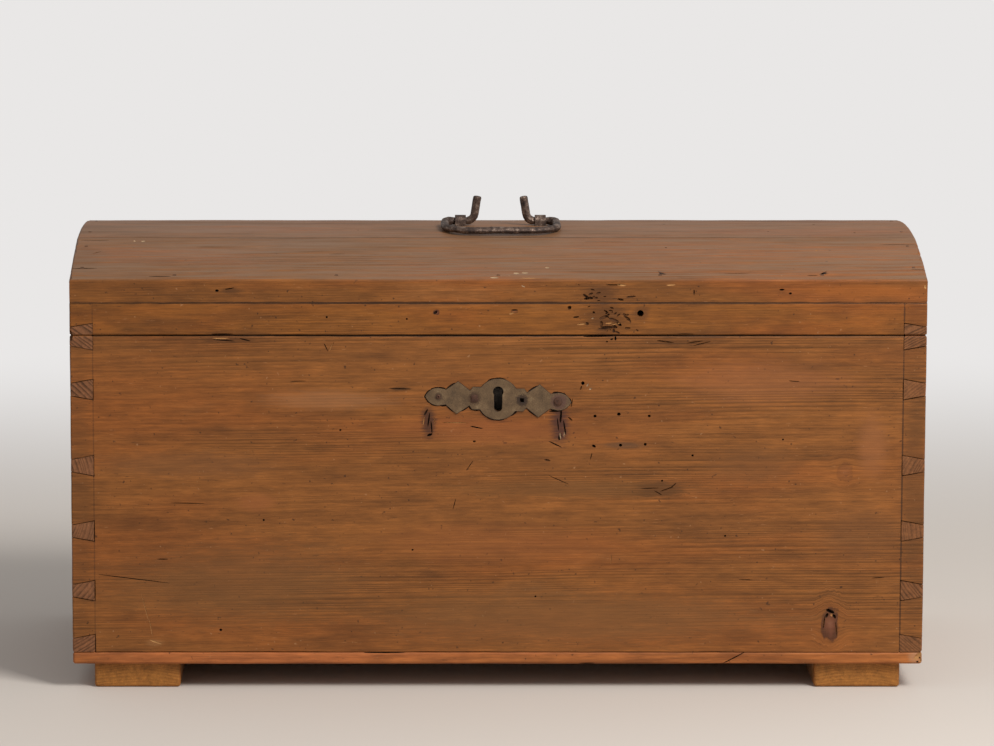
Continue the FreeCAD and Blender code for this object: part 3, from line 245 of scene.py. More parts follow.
# old pine, sawn, planed and waxed: growth rings cut through the board, so long faces show fine straight lines
# that part round the knots, ends show arcs, and the wax gives a low sheen over brown grime
def pineMaterial(name, look):
    material, add = newMaterial(name)
    place = add("TexCoord", out=None)
    board = add("VectorMath", {0: place.outputs["Object"], "Scale": 1 / mm}, operation="SCALE")

    # the rings part round each knot
    flow = board
    knots = []
    for centre, radii, strength in look["knots"]:
        away = add("VectorMath", {0: board, 1: centre}, operation="SUBTRACT")
        unit = add("VectorMath", {0: away, 1: radii}, operation="DIVIDE")
        ragged = add("TexNoise", {"Vector": unit, "Scale": 1.6, "Detail": 3.0})
        reach = add("VectorMath", {0: unit}, out=1, operation="LENGTH")
        reach = add("Math", {0: reach, 1: ragged}, operation="ADD")
        near = add("MapRange", {0: reach, 1: 1.2, 2: 3.1, 3: 0.2 + 0.38 * strength, 4: 0.0},
                   interpolation_type="SMOOTHSTEP")
        pull = add("VectorMath", {0: away, 1: (0, 0, 1)}, operation="MULTIPLY")
        pull = add("VectorMath", {0: pull, "Scale": near}, operation="SCALE")
        flow = add("VectorMath", {0: flow, 1: pull}, operation="SUBTRACT")
        knots.append((reach, strength))

    # the board's place in the tree, with a slow wander of the rings along it
    turn = (0, 0, math.radians(90) if look["grain"] == "y" else 0)
    log = add("Mapping", {"Vector": flow, "Rotation": turn})
    log = add("Mapping", {"Vector": log, "Location": (look["seed"] * look["apart"], *look["pith"]),
                          "Rotation": [math.radians(angle) for angle in look["lean"]]})
    slow = add("VectorMath", {0: log, 1: (1 / 620, 1 / 70, 1 / 70)}, operation="MULTIPLY")
    wander = add("TexNoise", {"Vector": slow, "Scale": 1.0, "Detail": 3.0}, out=1)
    wander = add("VectorMath", {0: wander, 1: (0.5, 0.5, 0.5)}, operation="SUBTRACT")
    wander = add("VectorMath", {0: wander, 1: (0, look["wander"], look["wander"])}, operation="MULTIPLY")
    bent = add("VectorMath", {0: log, 1: wander}, operation="ADD")

    # rings of uneven width, each one pale in spring and dark in autumn
    flat = add("VectorMath", {0: bent, 1: (0, 1, 1)}, operation="MULTIPLY")
    radius = add("VectorMath", {0: flat}, out=1, operation="LENGTH")
    count = add("Math", {0: radius, 1: look["ring"]}, operation="DIVIDE")
    season = add("Math", {0: count, 1: 0.13}, operation="MULTIPLY")
    season = add("TexNoise", {"W": season, "Scale": 1.0, "Detail": 2.0}, noise_dimensions="1D")
    season = add("Math", {0: season, 1: 5.0}, operation="MULTIPLY")
    count = add("Math", {0: count, 1: season}, operation="ADD")
    saw = add("Math", {0: count}, operation="FRACT")
    late = add("ValToRGB", {0: saw},
               stops=[(0.0, 0.3), (0.14, 0.0), (0.45, 0.1), (0.84, 0.85), (0.95, 1.0), (1.0, 0.3)])
    noise = {}
    for kind, (length, breadth, detail, rough, draw) in grainNoise.items():
        drawn = add("VectorMath", {0: bent, 1: (1 / length, 1 / breadth, 1 / breadth)}, operation="MULTIPLY")
        inputs = {"Vector": drawn, "Scale": 1.0, "Detail": detail, "Roughness": rough}
        if draw:
            noise[kind] = add("TexNoise", inputs | {"W": draw}, noise_dimensions="4D")
        else:
            noise[kind] = add("TexNoise", inputs)

    # where the rings show strongly and where wax and wear have dulled them
    dull = add("MapRange", {0: noise["dull"], 1: 0.42, 2: 0.62, 3: 0.08, 4: 1.0})
    ringShare = add("Math", {0: late, 1: dull}, operation="MULTIPLY")
    ringShare = add("Math", {0: ringShare, 1: look["ringShow"]}, operation="MULTIPLY")
    wood = add("MixRGB", {0: ringShare, 1: look["early"], 2: look["late"]})

    # broad red zones, long patches of brown grime, and paler wood where it is worn
    wood = layOver(add, wood, noise["zone"], 0.45, 0.64, 0.65, look["red"])
    wood = layOver(add, wood, noise["patch"], 0.47, 0.7, look["dirt"], look["grime"])
    wood = layOver(add, wood, noise["patch"], 0.44, 0.3, 0.4, look["worn"])

    # long streaks and fibres, then short dark flecks along the grain and pale dashes that are painted glints
    # of light on the wax, and pits and nicks about 4 mm apart
    tone = add("Math", {0: noise["streak"], 1: noise["fibre"]}, operation="ADD")
    tone = add("MapRange", {0: tone, 1: 0.6, 2: 1.4, 3: 0.62, 4: 1.38})
    dapple = add("MapRange", {0: noise["dapple"], 1: 0.3, 2: 0.7, 3: 0.82, 4: 1.18})
    tone = add("Math", {0: tone, 1: dapple}, operation="MULTIPLY")
    wood = add("MixRGB", {0: 1.0, 1: wood, 2: tone}, blend_type="MULTIPLY")
    wood = layOver(add, wood, noise["dash"], 0.67, 0.77, 0.6, "#33200f")
    # painted glints: pale dashes along the grain where light catches the wax
    wood = layOver(add, wood, noise["dash"], 0.33, 0.25, 0.35, "#a8764c")
    speck = add("TexNoise", {"Vector": board, "Scale": 1 / 3.6, "Detail": 1.0, "W": 17.0},
                noise_dimensions="4D")
    wood = layOver(add, wood, speck, 0.7, 0.77, 0.7, "#29180c", "LINEAR")
    wood = layOver(add, wood, speck, 0.27, 0.21, 0.45, "#a57b55", "LINEAR")

    # the inside never saw wax, so it stays pale and dry
    facing = add("SeparateXYZ", {0: place.outputs["Normal"]}, out=None)
    if look["inside"] == "under":
        bare = add("MapRange", {0: facing.outputs[2], 1: -0.75, 2: -0.9, 4: look["bare"]})
    else:
        side = add("SeparateXYZ", {0: board}, out=None)
        bare = look["bare"]
        for axis, wall in enumerate(look["walls"]):
            across = add("Math", {0: side.outputs[axis]}, operation="ABSOLUTE")
            within = add("MapRange", {0: across, 1: wall, 2: wall - 1.5})
            bare = add("Math", {0: bare, 1: within}, operation="MULTIPLY")
    raw = add("MixRGB", {0: ringShare, 1: "#a77a4d", 2: "#85592f"})
    wood = add("MixRGB", {0: bare, 1: wood, 2: raw})

    # end grain drinks more wax and grime, so faces square to the grain show dark arcs
    along = add("Math", {0: facing.outputs[1 if look["grain"] == "y" else 0]}, operation="ABSOLUTE")
    arcs = add("MapRange", {0: noise["patch"], 1: 0.38, 2: 0.6, 3: 0.3, 4: 1.0})
    arcs = add("Math", {0: late, 1: arcs}, operation="MULTIPLY")
    ends = add("MixRGB", {0: arcs, 1: look["endPale"], 2: look["endDark"]})
    ends = add("MixRGB", {0: 1.0, 1: ends, 2: tone}, blend_type="MULTIPLY")
    wood = layOver(add, wood, along, 0.6, 0.9, 0.85, ends, "LINEAR")

    # knots, stains, and a grey film on what looks up: dust, and a painted sheen of the light from above
    for reach, strength in knots:
        heart = add("MapRange", {0: reach, 1: 0.4, 2: 1.6})
        knot = add("ValToRGB", {0: heart},
                   stops=[(0.0, "#7a4f3c"), (0.4, "#653a29"), (0.75, "#4f2c1c"), (1.0, "#331a10")])
        wood = layOver(add, wood, reach, 1.75, 1.4, strength, knot)
    for centre, radii, colour, strength in look["stains"]:
        away = add("VectorMath", {0: board, 1: centre}, operation="SUBTRACT")
        away = add("VectorMath", {0: away, 1: radii}, operation="DIVIDE")
        reach = add("VectorMath", {0: away}, out=1, operation="LENGTH")
        for kind in ("patch", "fibre"):
            reach = add("Math", {0: reach, 1: noise[kind]}, operation="ADD")
        wood = layOver(add, wood, reach, 2.0, 1.3, strength, colour)
    up = add("MapRange", {0: facing.outputs[2], 1: 0.5, 2: 0.97, 4: look["dustAndSheen"]})
    rubbed = add("MapRange", {0: noise["streak"], 1: 0.36, 2: 0.64, 3: 1.7, 4: 0.3})
    up = add("Math", {0: up, 1: rubbed}, operation="MULTIPLY")
    wood = add("MixRGB", {0: up, 1: wood, 2: "#7d624c"})

    rough = add("MapRange", {0: noise["patch"], 1: 0.3, 2: 0.7, 3: 0.44, 4: 0.66})
    relief = add("Math", {0: ringShare, 1: noise["fibre"]}, operation="ADD")
    bump = add("Bump", {"Height": relief, "Strength": 0.4, "Distance": 0.0004})
    shader = add("BsdfPrincipled", {"Base Color": wood, "Roughness": rough, "Normal": bump, "IOR": 1.5,
                                    "Specular IOR Level": 0.25})
    add("OutputMaterial", {"Surface": shader}, out=None)
    return material


# the middle of each tree lies outside its board, so the rings run along it as nearly straight lines
pineBase = {
    "grain": "x", "pith": (60, -540), "lean": (0, 0.7, 0.4), "ring": 3.1, "wander": 10, "ringShow": 0.84,
    "early": "#814f23", "late": "#533210", "red": "#85481c", "grime": "#472b13", "worn": "#8b5b31",
    "endPale": "#7c5236", "endDark": "#34200f", "dirt": 0.55, "dustAndSheen": 0.1, "inside": "box",
    "walls": (428, 188), "bare": 0.7, "apart": 977, "seed": 1, "knots": (), "stains": (),
}


# stains on a front or back face: x, z, half length, half height, colour, strength
def faceStains(*rows, y=-210, depth=30):
    return [((x, y, z), (along, depth, high), colour, strength)
            for x, z, along, high, colour, strength in rows]


# painted shade: a near-black line on both faces where the lid meets the case, standing in for the shade in
# the gap
lidGapShade = faceStains((0, 378.4, 900, 1.7, "#1c1008", 0.9))
lidGapShade += faceStains((0, 378.4, 900, 1.7, "#1c1008", 0.8), y=210)
staveSeat = faceStains((0, 412.9, 900, 1.7, "#2a190c", 0.85))
staveSeat += faceStains((0, 412.9, 900, 1.7, "#2a190c", 0.8), y=210)
crownSeams = faceStains((0, 467.5, 900, 30, "#352213", 0.55), y=-84, depth=4)
crownSeams += faceStains((0, 467.5, 900, 30, "#352213", 0.65), y=84, depth=4)
gaugeLines = faceStains((-426, 210, 1.0, 400, "#2c1a0e", 0.4), (426, 210, 1.2, 400, "#2c1a0e", 0.8))
gaugeLines += faceStains((-426, 210, 1.2, 400, "#2c1a0e", 0.7), (426, 210, 1.2, 400, "#2c1a0e", 0.7), y=210)
scars = faceStains((-73, 286, 11, 22, "#34201a", 0.8), (65, 284, 15, 32, "#3d2420", 0.85))
# painted shade: near black on the front board behind the keyhole, standing in for the shade inside the lock
keyholeShade = faceStains((0, 309, 22, 30, "#120b06", 0.95), y=-198, depth=40)
# broad tones of the front board: redder where hands rubbed it, olive brown where smoke and grime stayed
frontTones = faceStains(
    (-177, 310, 95, 14, "#9b6a44", 0.45), (-4, 278, 130, 20, "#8d5029", 0.45),
    (90, 215, 190, 13, "#694522", 0.55), (-329, 241, 130, 18, "#70492a", 0.45),
    (-255, 200, 28, 13, "#96592f", 0.45), (-4, 158, 150, 30, "#8c5128", 0.4),
    (-276, 116, 180, 60, "#704b29", 0.55), (70, 76, 320, 40, "#724c29", 0.6),
    (278, 330, 120, 32, "#925b37", 0.4), (394, 262, 22, 45, "#98603a", 0.4),
    (268, 241, 70, 28, "#6f4826", 0.45), (383, 168, 60, 40, "#6c4526", 0.4),
)
pineLooks = {
    "front": {
        "red": "#834a1e", "dirt": 0.45,
        "knots": [((352, -210, 69.5), (8.5, 30, 17), 0.9), ((366, -210, 233), (8, 30, 10), 0.25)],
        "stains": frontTones + lidGapShade + gaugeLines + scars + keyholeShade + faceStains(
            (132, 262, 28, 5, "#4a3a2c", 0.5), (0, 309, 88, 26, "#553619", 0.5),
            (-363, 50, 13, 5, "#9c6d42", 0.4), (195, 372, 55, 8, "#38230f", 0.4),
            (-285, 374, 60, 6, "#432811", 0.5), (-103, 322, 16, 3, "#30200e", 0.7),
            (170, 214, 36, 12, "#432a12", 0.55), (440, 210, 20, 190, "#4c3119", 0.45),
            (-440, 210, 16, 190, "#4c3119", 0.3),
        ),
    },
    "back": {
        "pith": (-330, 120), "lean": (0, -0.8, 0.4), "early": "#7a4a22", "late": "#523012", "seed": 2,
        "stains": lidGapShade + gaugeLines,
    },
    "leftEnd": {
        "grain": "y", "pith": (540, -205), "lean": (0, 1.0, 0.8), "ring": 3.8, "early": "#7c4b21",
        "late": "#523013", "seed": 3,
    },
    "rightEnd": {
        "grain": "y", "pith": (-540, -185), "lean": (0, -0.8, 0.6), "ring": 3.8, "early": "#7c4b21",
        "late": "#523013", "endPale": "#764c2d", "endDark": "#3d2612", "seed": 10,
    },
    "rail": {
        "pith": (120, -660), "ring": 2.8, "early": "#7e4c1c", "late": "#54310f", "red": "#854719",
        "seed": 4,
        "knots": [((-65, -210, 403), (3.2, 30, 2.6), 0.9), ((17, -210, 404), (3.6, 30, 2.0), 0.5)],
        "stains": lidGapShade + staveSeat + faceStains(
            (112, 398, 34, 26, "#432813", 0.6), (150, 402, 12, 12, "#452a17", 0.5),
            (195, 382, 60, 6, "#38230f", 0.3), (-285, 381, 50, 5, "#432811", 0.4),
            (-426, 395, 1.0, 40, "#2c1a0e", 0.35), (426, 395, 1.2, 40, "#2c1a0e", 0.7),
            (440, 398, 18, 22, "#5a3018", 0.4),
        ),
    },
    "frontStave": {
        "pith": (150, -700), "lean": (0, 0.6, -0.5), "ring": 2.8, "early": "#78491e", "late": "#4f2f11",
        "seed": 5, "inside": "under", "dustAndSheen": 0.5, "dirt": 0.42,
        "stains": staveSeat + crownSeams + [
            ((108, -208, 424), (26, 20, 14), "#432813", 0.6),
            ((-280, -209, 426), (16, 20, 5), "#432a15", 0.55),
            ((-440, -150, 450), (34, 60, 20), "#4c321c", 0.4),
            ((380, -209, 425), (80, 20, 9), "#96561f", 0.5),
        ],
    },
    "topStave": {
        "pith": (20, -760), "lean": (0, -0.5, 0.4), "ring": 3.0, "early": "#7b4c25", "late": "#4f3015",
        "seed": 6, "inside": "under", "dustAndSheen": 0.48, "dirt": 0.8, "stains": crownSeams,
    },
    "backStave": {
        "pith": (-160, -700), "lean": (0, 0.5, 0.6), "seed": 7, "inside": "under", "dustAndSheen": 0.42,
        "stains": staveSeat + crownSeams,
    },
    "base": {
        "pith": (-30, 120), "lean": (0, 0.6, 0.4), "ring": 4.5, "ringShow": 0.5, "early": "#a1602f",
        "late": "#84491f", "red": "#a65f35", "grime": "#68391b", "worn": "#ad7449", "endPale": "#8a5934",
        "endDark": "#5b371c", "dirt": 0.75, "seed": 8,
        "stains": faceStains((442, 34, 9, 9, "#a98668", 0.45), (250, 36, 22, 6, "#6a3a1a", 0.5), y=-215),
    },
    "leftRunner": {
        "grain": "y", "pith": (382, 230), "ring": 3.4, "ringShow": 0.7, "early": "#925c28",
        "late": "#6b401a", "red": "#945b28", "grime": "#6a4320", "worn": "#ab763f", "endPale": "#9b662d",
        "endDark": "#7a4b1e", "dirt": 0.45, "seed": 9,
    },
}
pineLooks["rightRunner"] = pineLooks["leftRunner"] | {"pith": (-382, 230), "seed": 11}
pineNames = {
    "front": "old pine front board planed and waxed", "back": "old pine back board planed and waxed",
    "leftEnd": "old pine left end planed and waxed", "rightEnd": "old pine right end planed and waxed",
    "rail": "old pine rails planed and waxed", "frontStave": "old pine front stave planed and waxed",
    "topStave": "old pine top stave planed and waxed", "backStave": "old pine back stave planed and waxed",
    "base": "younger pine planks stained", "leftRunner": "younger pine left runner sawn",
    "rightRunner": "younger pine right runner sawn",
}
pine = {board: pineMaterial(name, pineBase | pineLooks[board]) for board, name in pineNames.items()}


# wood inside holes and joints, and freshly split wood: broken fibre with no wax, so it is matt all through
def brokenPine(name, dark, light, length=9, breadth=0.9):
    material, add = newMaterial(name)
    place = add("TexCoord", out=3)
    fibre = (1 / (length * mm), 1 / (breadth * mm), 1 / (breadth * mm))
    strand = add("VectorMath", {0: place, 1: fibre}, operation="MULTIPLY")
    strand = add("TexNoise", {"Vector": strand, "Scale": 1.0, "Detail": 4.0})
    colour = add("ValToRGB", {0: strand}, stops=[(0.3, dark), (0.7, light)])
    bump = add("Bump", {"Height": strand, "Strength": 0.6, "Distance": 0.0005})
    shader = add("BsdfPrincipled", {"Base Color": colour, "Roughness": 0.85, "Normal": bump,
                                    "Specular IOR Level": 0.2})
    add("OutputMaterial", {"Surface": shader}, out=None)
    return material


# painted shade: the insides of holes, gouges and cracks are near black, standing in for the shade that falls
# in them
holeShadeDark = brokenPine("pine broken and blackened in the holes", "#170d06", "#352010")
jointDark = brokenPine("pine joint edge packed with grime", "#28170b", "#6b421f")
wormBrown = brokenPine("pine gnawed by worm and waxed over", "#2a180c", "#5c3a20")
splitPale = brokenPine("pine freshly split", "#8f6238", "#b38655")
flakePale = brokenPine("pine flaked to dry pale fibre", "#866a4e", "#b59d80")
print("pine made:", len(pine), "boards")


# wrought metals: noise at two real grain sizes lays a dark and a light state of the surface over each other
def agedMetal(name, look):
    material, add = newMaterial(name)
    place = add("TexCoord", out=3)
    broad = add("TexNoise", {"Vector": place, "Scale": 1 / (look["patch"] * mm), "Detail": 5.0,
                             "Roughness": 0.6})
    fine = add("TexNoise", {"Vector": place, "Scale": 1 / (look["grit"] * mm), "Detail": 3.0})
    mixed = add("MixRGB", {0: 0.35, 1: broad, 2: fine})
    colour = add("ValToRGB", {0: mixed}, stops=look["colours"])
    for centre, radius, tint in look.get("spots", ()):
        reach = add("VectorMath", {0: place, 1: [c * mm for c in centre]}, out=1, operation="DISTANCE")
        reach = add("Math", {0: reach, 1: radius * mm}, operation="DIVIDE")
        reach = add("Math", {0: reach, 1: fine}, operation="ADD")
        colour = layOver(add, colour, reach, 1.7, 1.3, 0.85, tint, "LINEAR")
    shine, rough = [add("MapRange", {0: mixed, 1: 0.35, 2: 0.65, 3: look[key][0], 4: look[key][1]})
                    for key in ("metal", "rough")]
    bump = add("Bump", {"Height": mixed, "Strength": look["bump"], "Distance": 0.0006})
    shader = add("BsdfPrincipled", {"Base Color": colour, "Metallic": shine, "Roughness": rough,
                                    "Normal": bump})
    add("OutputMaterial", {"Surface": shader}, out=None)
    return material


metals = {
    # hammered iron: black fire scale, brown rust, and pale grey patches, partly grey where hands have rubbed
    # it and partly painted highlights
    "forged_iron": agedMetal("wrought iron hammered and rusted", {
        "patch": 7, "grit": 0.9, "metal": (0.2, 0.75), "rough": (0.75, 0.42), "bump": 0.7,
        "colours": [(0.36, "#1f1511"), (0.45, "#3c2d26"), (0.54, "#5f4d43"), (0.64, "#9d8b7e")]}),
    # cut nails under old wax: rust brown, hardly darker than the wood
    "nail_iron": agedMetal("cut nail iron rusted under wax", {
        "patch": 5, "grit": 0.8, "metal": (0.1, 0.4), "rough": (0.8, 0.55), "bump": 0.6,
        "colours": [(0.3, "#35200f"), (0.5, "#4f311b"), (0.7, "#67442a")]}),
    # lock works: filed plate gone grey-brown with oil
    "lock_iron": agedMetal("lock plate iron filed and oiled", {
        "patch": 9, "grit": 0.7, "metal": (0.5, 0.85), "rough": (0.6, 0.38), "bump": 0.35,
        "colours": [(0.3, "#2a2420"), (0.5, "#443d37"), (0.7, "#635c55")]}),
    # sheet brass long unpolished: olive-brown tarnish, greyer where rubbed, rust from the nails run into it
    "escutcheon_brass": agedMetal("sheet brass cut and tarnished", {
        "patch": 14, "grit": 1.1, "metal": (0.25, 0.5), "rough": (0.7, 0.5), "bump": 0.45,
        "colours": [(0.3, "#40301e"), (0.44, "#5a4630"), (0.56, "#6b553c"), (0.7, "#8b775b")],
        "spots": [((25, -212, 310), 6.2, "#2a1a12"), ((64, -212, 308.4), 8.5, "#593d33"),
                  ((-25, -212, 312), 6.6, "#46301f"), ((-63, -212, 313.6), 4.2, "#4a3626")]}),
}
# the plate's edge, black with dried polish and dirt and with painted shade along its thickness
grimeAndShadeBrass = agedMetal("sheet brass edge black with grime and painted shade", {
    "patch": 12, "grit": 1.0, "metal": (0.05, 0.4), "rough": (0.85, 0.6), "bump": 0.5,
    "colours": [(0.35, "#150d07"), (0.5, "#291c10"), (0.62, "#66523a")]})
rustIron = agedMetal("nail iron deep in red rust", {
    "patch": 3, "grit": 0.7, "metal": (0.05, 0.25), "rough": (0.9, 0.7), "bump": 0.9,
    "colours": [(0.3, "#26150d"), (0.5, "#45291a"), (0.7, "#5f3d28")]})
for name, node in nodes.items():
    slot = slotOf[name]
    node.data.materials.clear()
    node.data.materials.append(metals[slot] if slot in metals else pine["base"])
print("metals made:", len(metals) + 2)


# a few rough balls that are stretched into holes, gouges and cracks and then taken out of a board
lumpLook = {"count": 6, "rough": 0.2}
lumps = []
for seed in range(lumpLook["count"]):
    bpy.ops.object.select_all(action="DESELECT")
    bpy.ops.mesh.primitive_ico_sphere_add(subdivisions=2, radius=1)
    lump = bpy.context.object
    setMode("EDIT")
    bpy.ops.mesh.select_all(action="SELECT")
    bpy.ops.transform.vertex_random(offset=lumpLook["rough"], seed=seed)
    setMode("OBJECT")
    lumps.append(lump.data)
    bpy.data.objects.remove(lump)

outward = {"front": Vector((0, -1, 0)), "back": Vector((0, 1, 0)), "left": Vector((-1, 0, 0)),
           "right": Vector((1, 0, 0)), "top": Vector((0, 0, 1))}


def mark(spot, face, half, turn=0, finish=holeShadeDark):
    normal = outward[face] if isinstance(face, str) else face
    grain = Vector((0, 1, 0)) if abs(normal.x) > 0.9 else Vector((1, 0, 0))
    basis = Matrix((grain, normal.cross(grain), normal)).transposed().to_4x4()
    stretch = Matrix.Diagonal((*[h * mm for h in half], 1))
    place = Matrix.Translation(Vector(spot) * mm) @ basis
    return place @ Matrix.Rotation(math.radians(turn), 4, "Z") @ stretch, finish


# rows of marks on a front face: x, z, half length, half width, depth in mm, turn in degrees,
# and the finish where it isn't the dark of a hole
def frontRows(y, rows):
    return [mark((x, y, z), "front", (along, across, deep), turn, *finish)
            for x, z, along, across, deep, turn, *finish in rows]


def carve(piece, marks):
    if not marks:
        return
    cutters = []
    for index, (place, finish) in enumerate(marks):
        cutter = bpy.data.objects.new("cutter", lumps[index % len(lumps)].copy())
        bpy.context.scene.collection.objects.link(cutter)
        cutter.data.transform(place)
        cutter.data.materials.append(finish)
        cutters.append(cutter)
    cutter = joinPieces(cutters)
    applyModifier(piece, "BOOLEAN", object=cutter, operation="DIFFERENCE", solver="EXACT",
                  use_self=True, material_mode="TRANSFER")
    bpy.data.objects.remove(cutter)


# wear that every board shares: arrises rubbed round, joint edges packed with grime, faces no longer flat
boardWear = {"sharp": 40, "flush": 0.05, "long": 60, "short": 8, "ease": 1.1, "joint": 0.45, "pitch": 13,
             "wave": 55, "waveHeight": 0.9, "bend": 0.2, "nailRoom": 5, "chip": 11, "chipDepth": 1.0}


def easeEdges(piece, wear, spared):
    ends = corners(piece)
    pickOnly(piece)
    for slot, offset in enumerate((wear["ease"], wear["joint"])):
        setMode("EDIT")
        bpy.ops.mesh.select_all(action="DESELECT")
        bpy.ops.mesh.edges_select_sharp(sharpness=math.radians(wear["sharp"]))
        setMode("OBJECT")
        for part in (*piece.data.vertices, *piece.data.polygons):
            part.select = False
        for edge in piece.data.edges:
            spots = [piece.data.vertices[i].co for i in edge.vertices]
            faces = sum(all(abs(spot[i] - end[i]) < wear["flush"] * mm for spot in spots)
                        for i in range(3) for end in ends)
            length = (spots[0] - spots[1]).length
            isLong = length > wear["long"] * mm
            fits = isLong if slot == 0 else faces == 1 and length > wear["short"] * mm and not isLong
            edge.select = edge.select and fits and not all(spared(spot / mm) for spot in spots)
        setMode("EDIT")
        bpy.ops.mesh.bevel(offset=offset * mm, segments=2 if slot == 0 else 1, affect="EDGES", material=slot)
        setMode("OBJECT")


# where the nails stand, so that the wear of the arrises leaves their holes alone
nailPoints = [point.co for name, node in nodes.items() if slotOf[name] == "nail_iron"
              for point in node.data.vertices]
nailTree = KDTree(len(nailPoints))
for index, point in enumerate(nailPoints):
    nailTree.insert(point, index)
nailTree.balance()


def groupArrises(piece, wear, spared):
    points = piece.data.vertices
    bent = {i for face in piece.data.polygons for i in face.vertices
            if face.normal.angle(points[i].normal) > wear["bend"]}
    groupPoints(piece, "arris", lambda point: point.index in bent and not spared(point.co / mm)
                and nailTree.find(point.co)[2] > wear["nailRoom"] * mm)


# plain wear for the faces that no picture shows: worm holes and short cracks along the grain
plainWear = {"margin": 25, "narrow": 60, "bore": (0.7, 1.5), "boreDepth": (3, 6), "crack": (10, 38),
             "crackWidth": (0.4, 0.7), "crackDepth": 4, "crackTurn": (-4, 4)}


def scatterMarks(nodeName, face, seed, holes, cracks):
    dice = random.Random(seed)
    low, high = [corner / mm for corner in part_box(nodeName)]
    normal = outward[face]
    axis = max(range(3), key=lambda i: abs(normal[i]))
    margin = plainWear["margin"]
    marks = []
    for index in range(holes + cracks):
        spot = [dice.uniform(low[i] + margin, high[i] - margin) if high[i] - low[i] > plainWear["narrow"]
                else (low[i] + high[i]) / 2 for i in range(3)]
        spot[axis] = (high[axis] if normal[axis] > 0 else low[axis]) + normal[axis]
        _, spot, slope, _ = nodes[nodeName].ray_cast(Vector(spot) * mm, -normal)
        if index < holes:
            bore = dice.uniform(*plainWear["bore"])
            marks.append(mark(spot / mm, slope, (bore, bore, dice.uniform(*plainWear["boreDepth"]))))
        else:
            crack = [dice.uniform(*plainWear[key]) for key in ("crack", "crackWidth")]
            marks.append(mark(spot / mm, slope, (*crack, plainWear["crackDepth"]),
                              dice.uniform(*plainWear["crackTurn"])))
    return marks


def wearBoard(nodeName, pieceName, pineName, marks=(), scatter=None, spared=lambda spot: False, **changes):
    wear = boardWear | changes
    piece = copyNode(nodeName, pieceName)
    piece.data.materials.append(pine[pineName])
    piece.data.materials.append(jointDark)
    easeEdges(piece, wear, spared)
    cutGrid(piece, wear["pitch"])
    groupArrises(piece, wear, spared)
    waver(piece, wear["wave"], wear["waveHeight"])
    waver(piece, wear["chip"], wear["chipDepth"], group="arris", middle=0.75)
    carve(piece, (scatterMarks(nodeName, *scatter) if scatter else []) + list(marks))
    settle(piece, nodeName)
    print("worn:", pieceName, len(piece.data.polygons), "faces")


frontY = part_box("front_board")[0].y / mm
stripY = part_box("bottom_plank_front")[0].y / mm

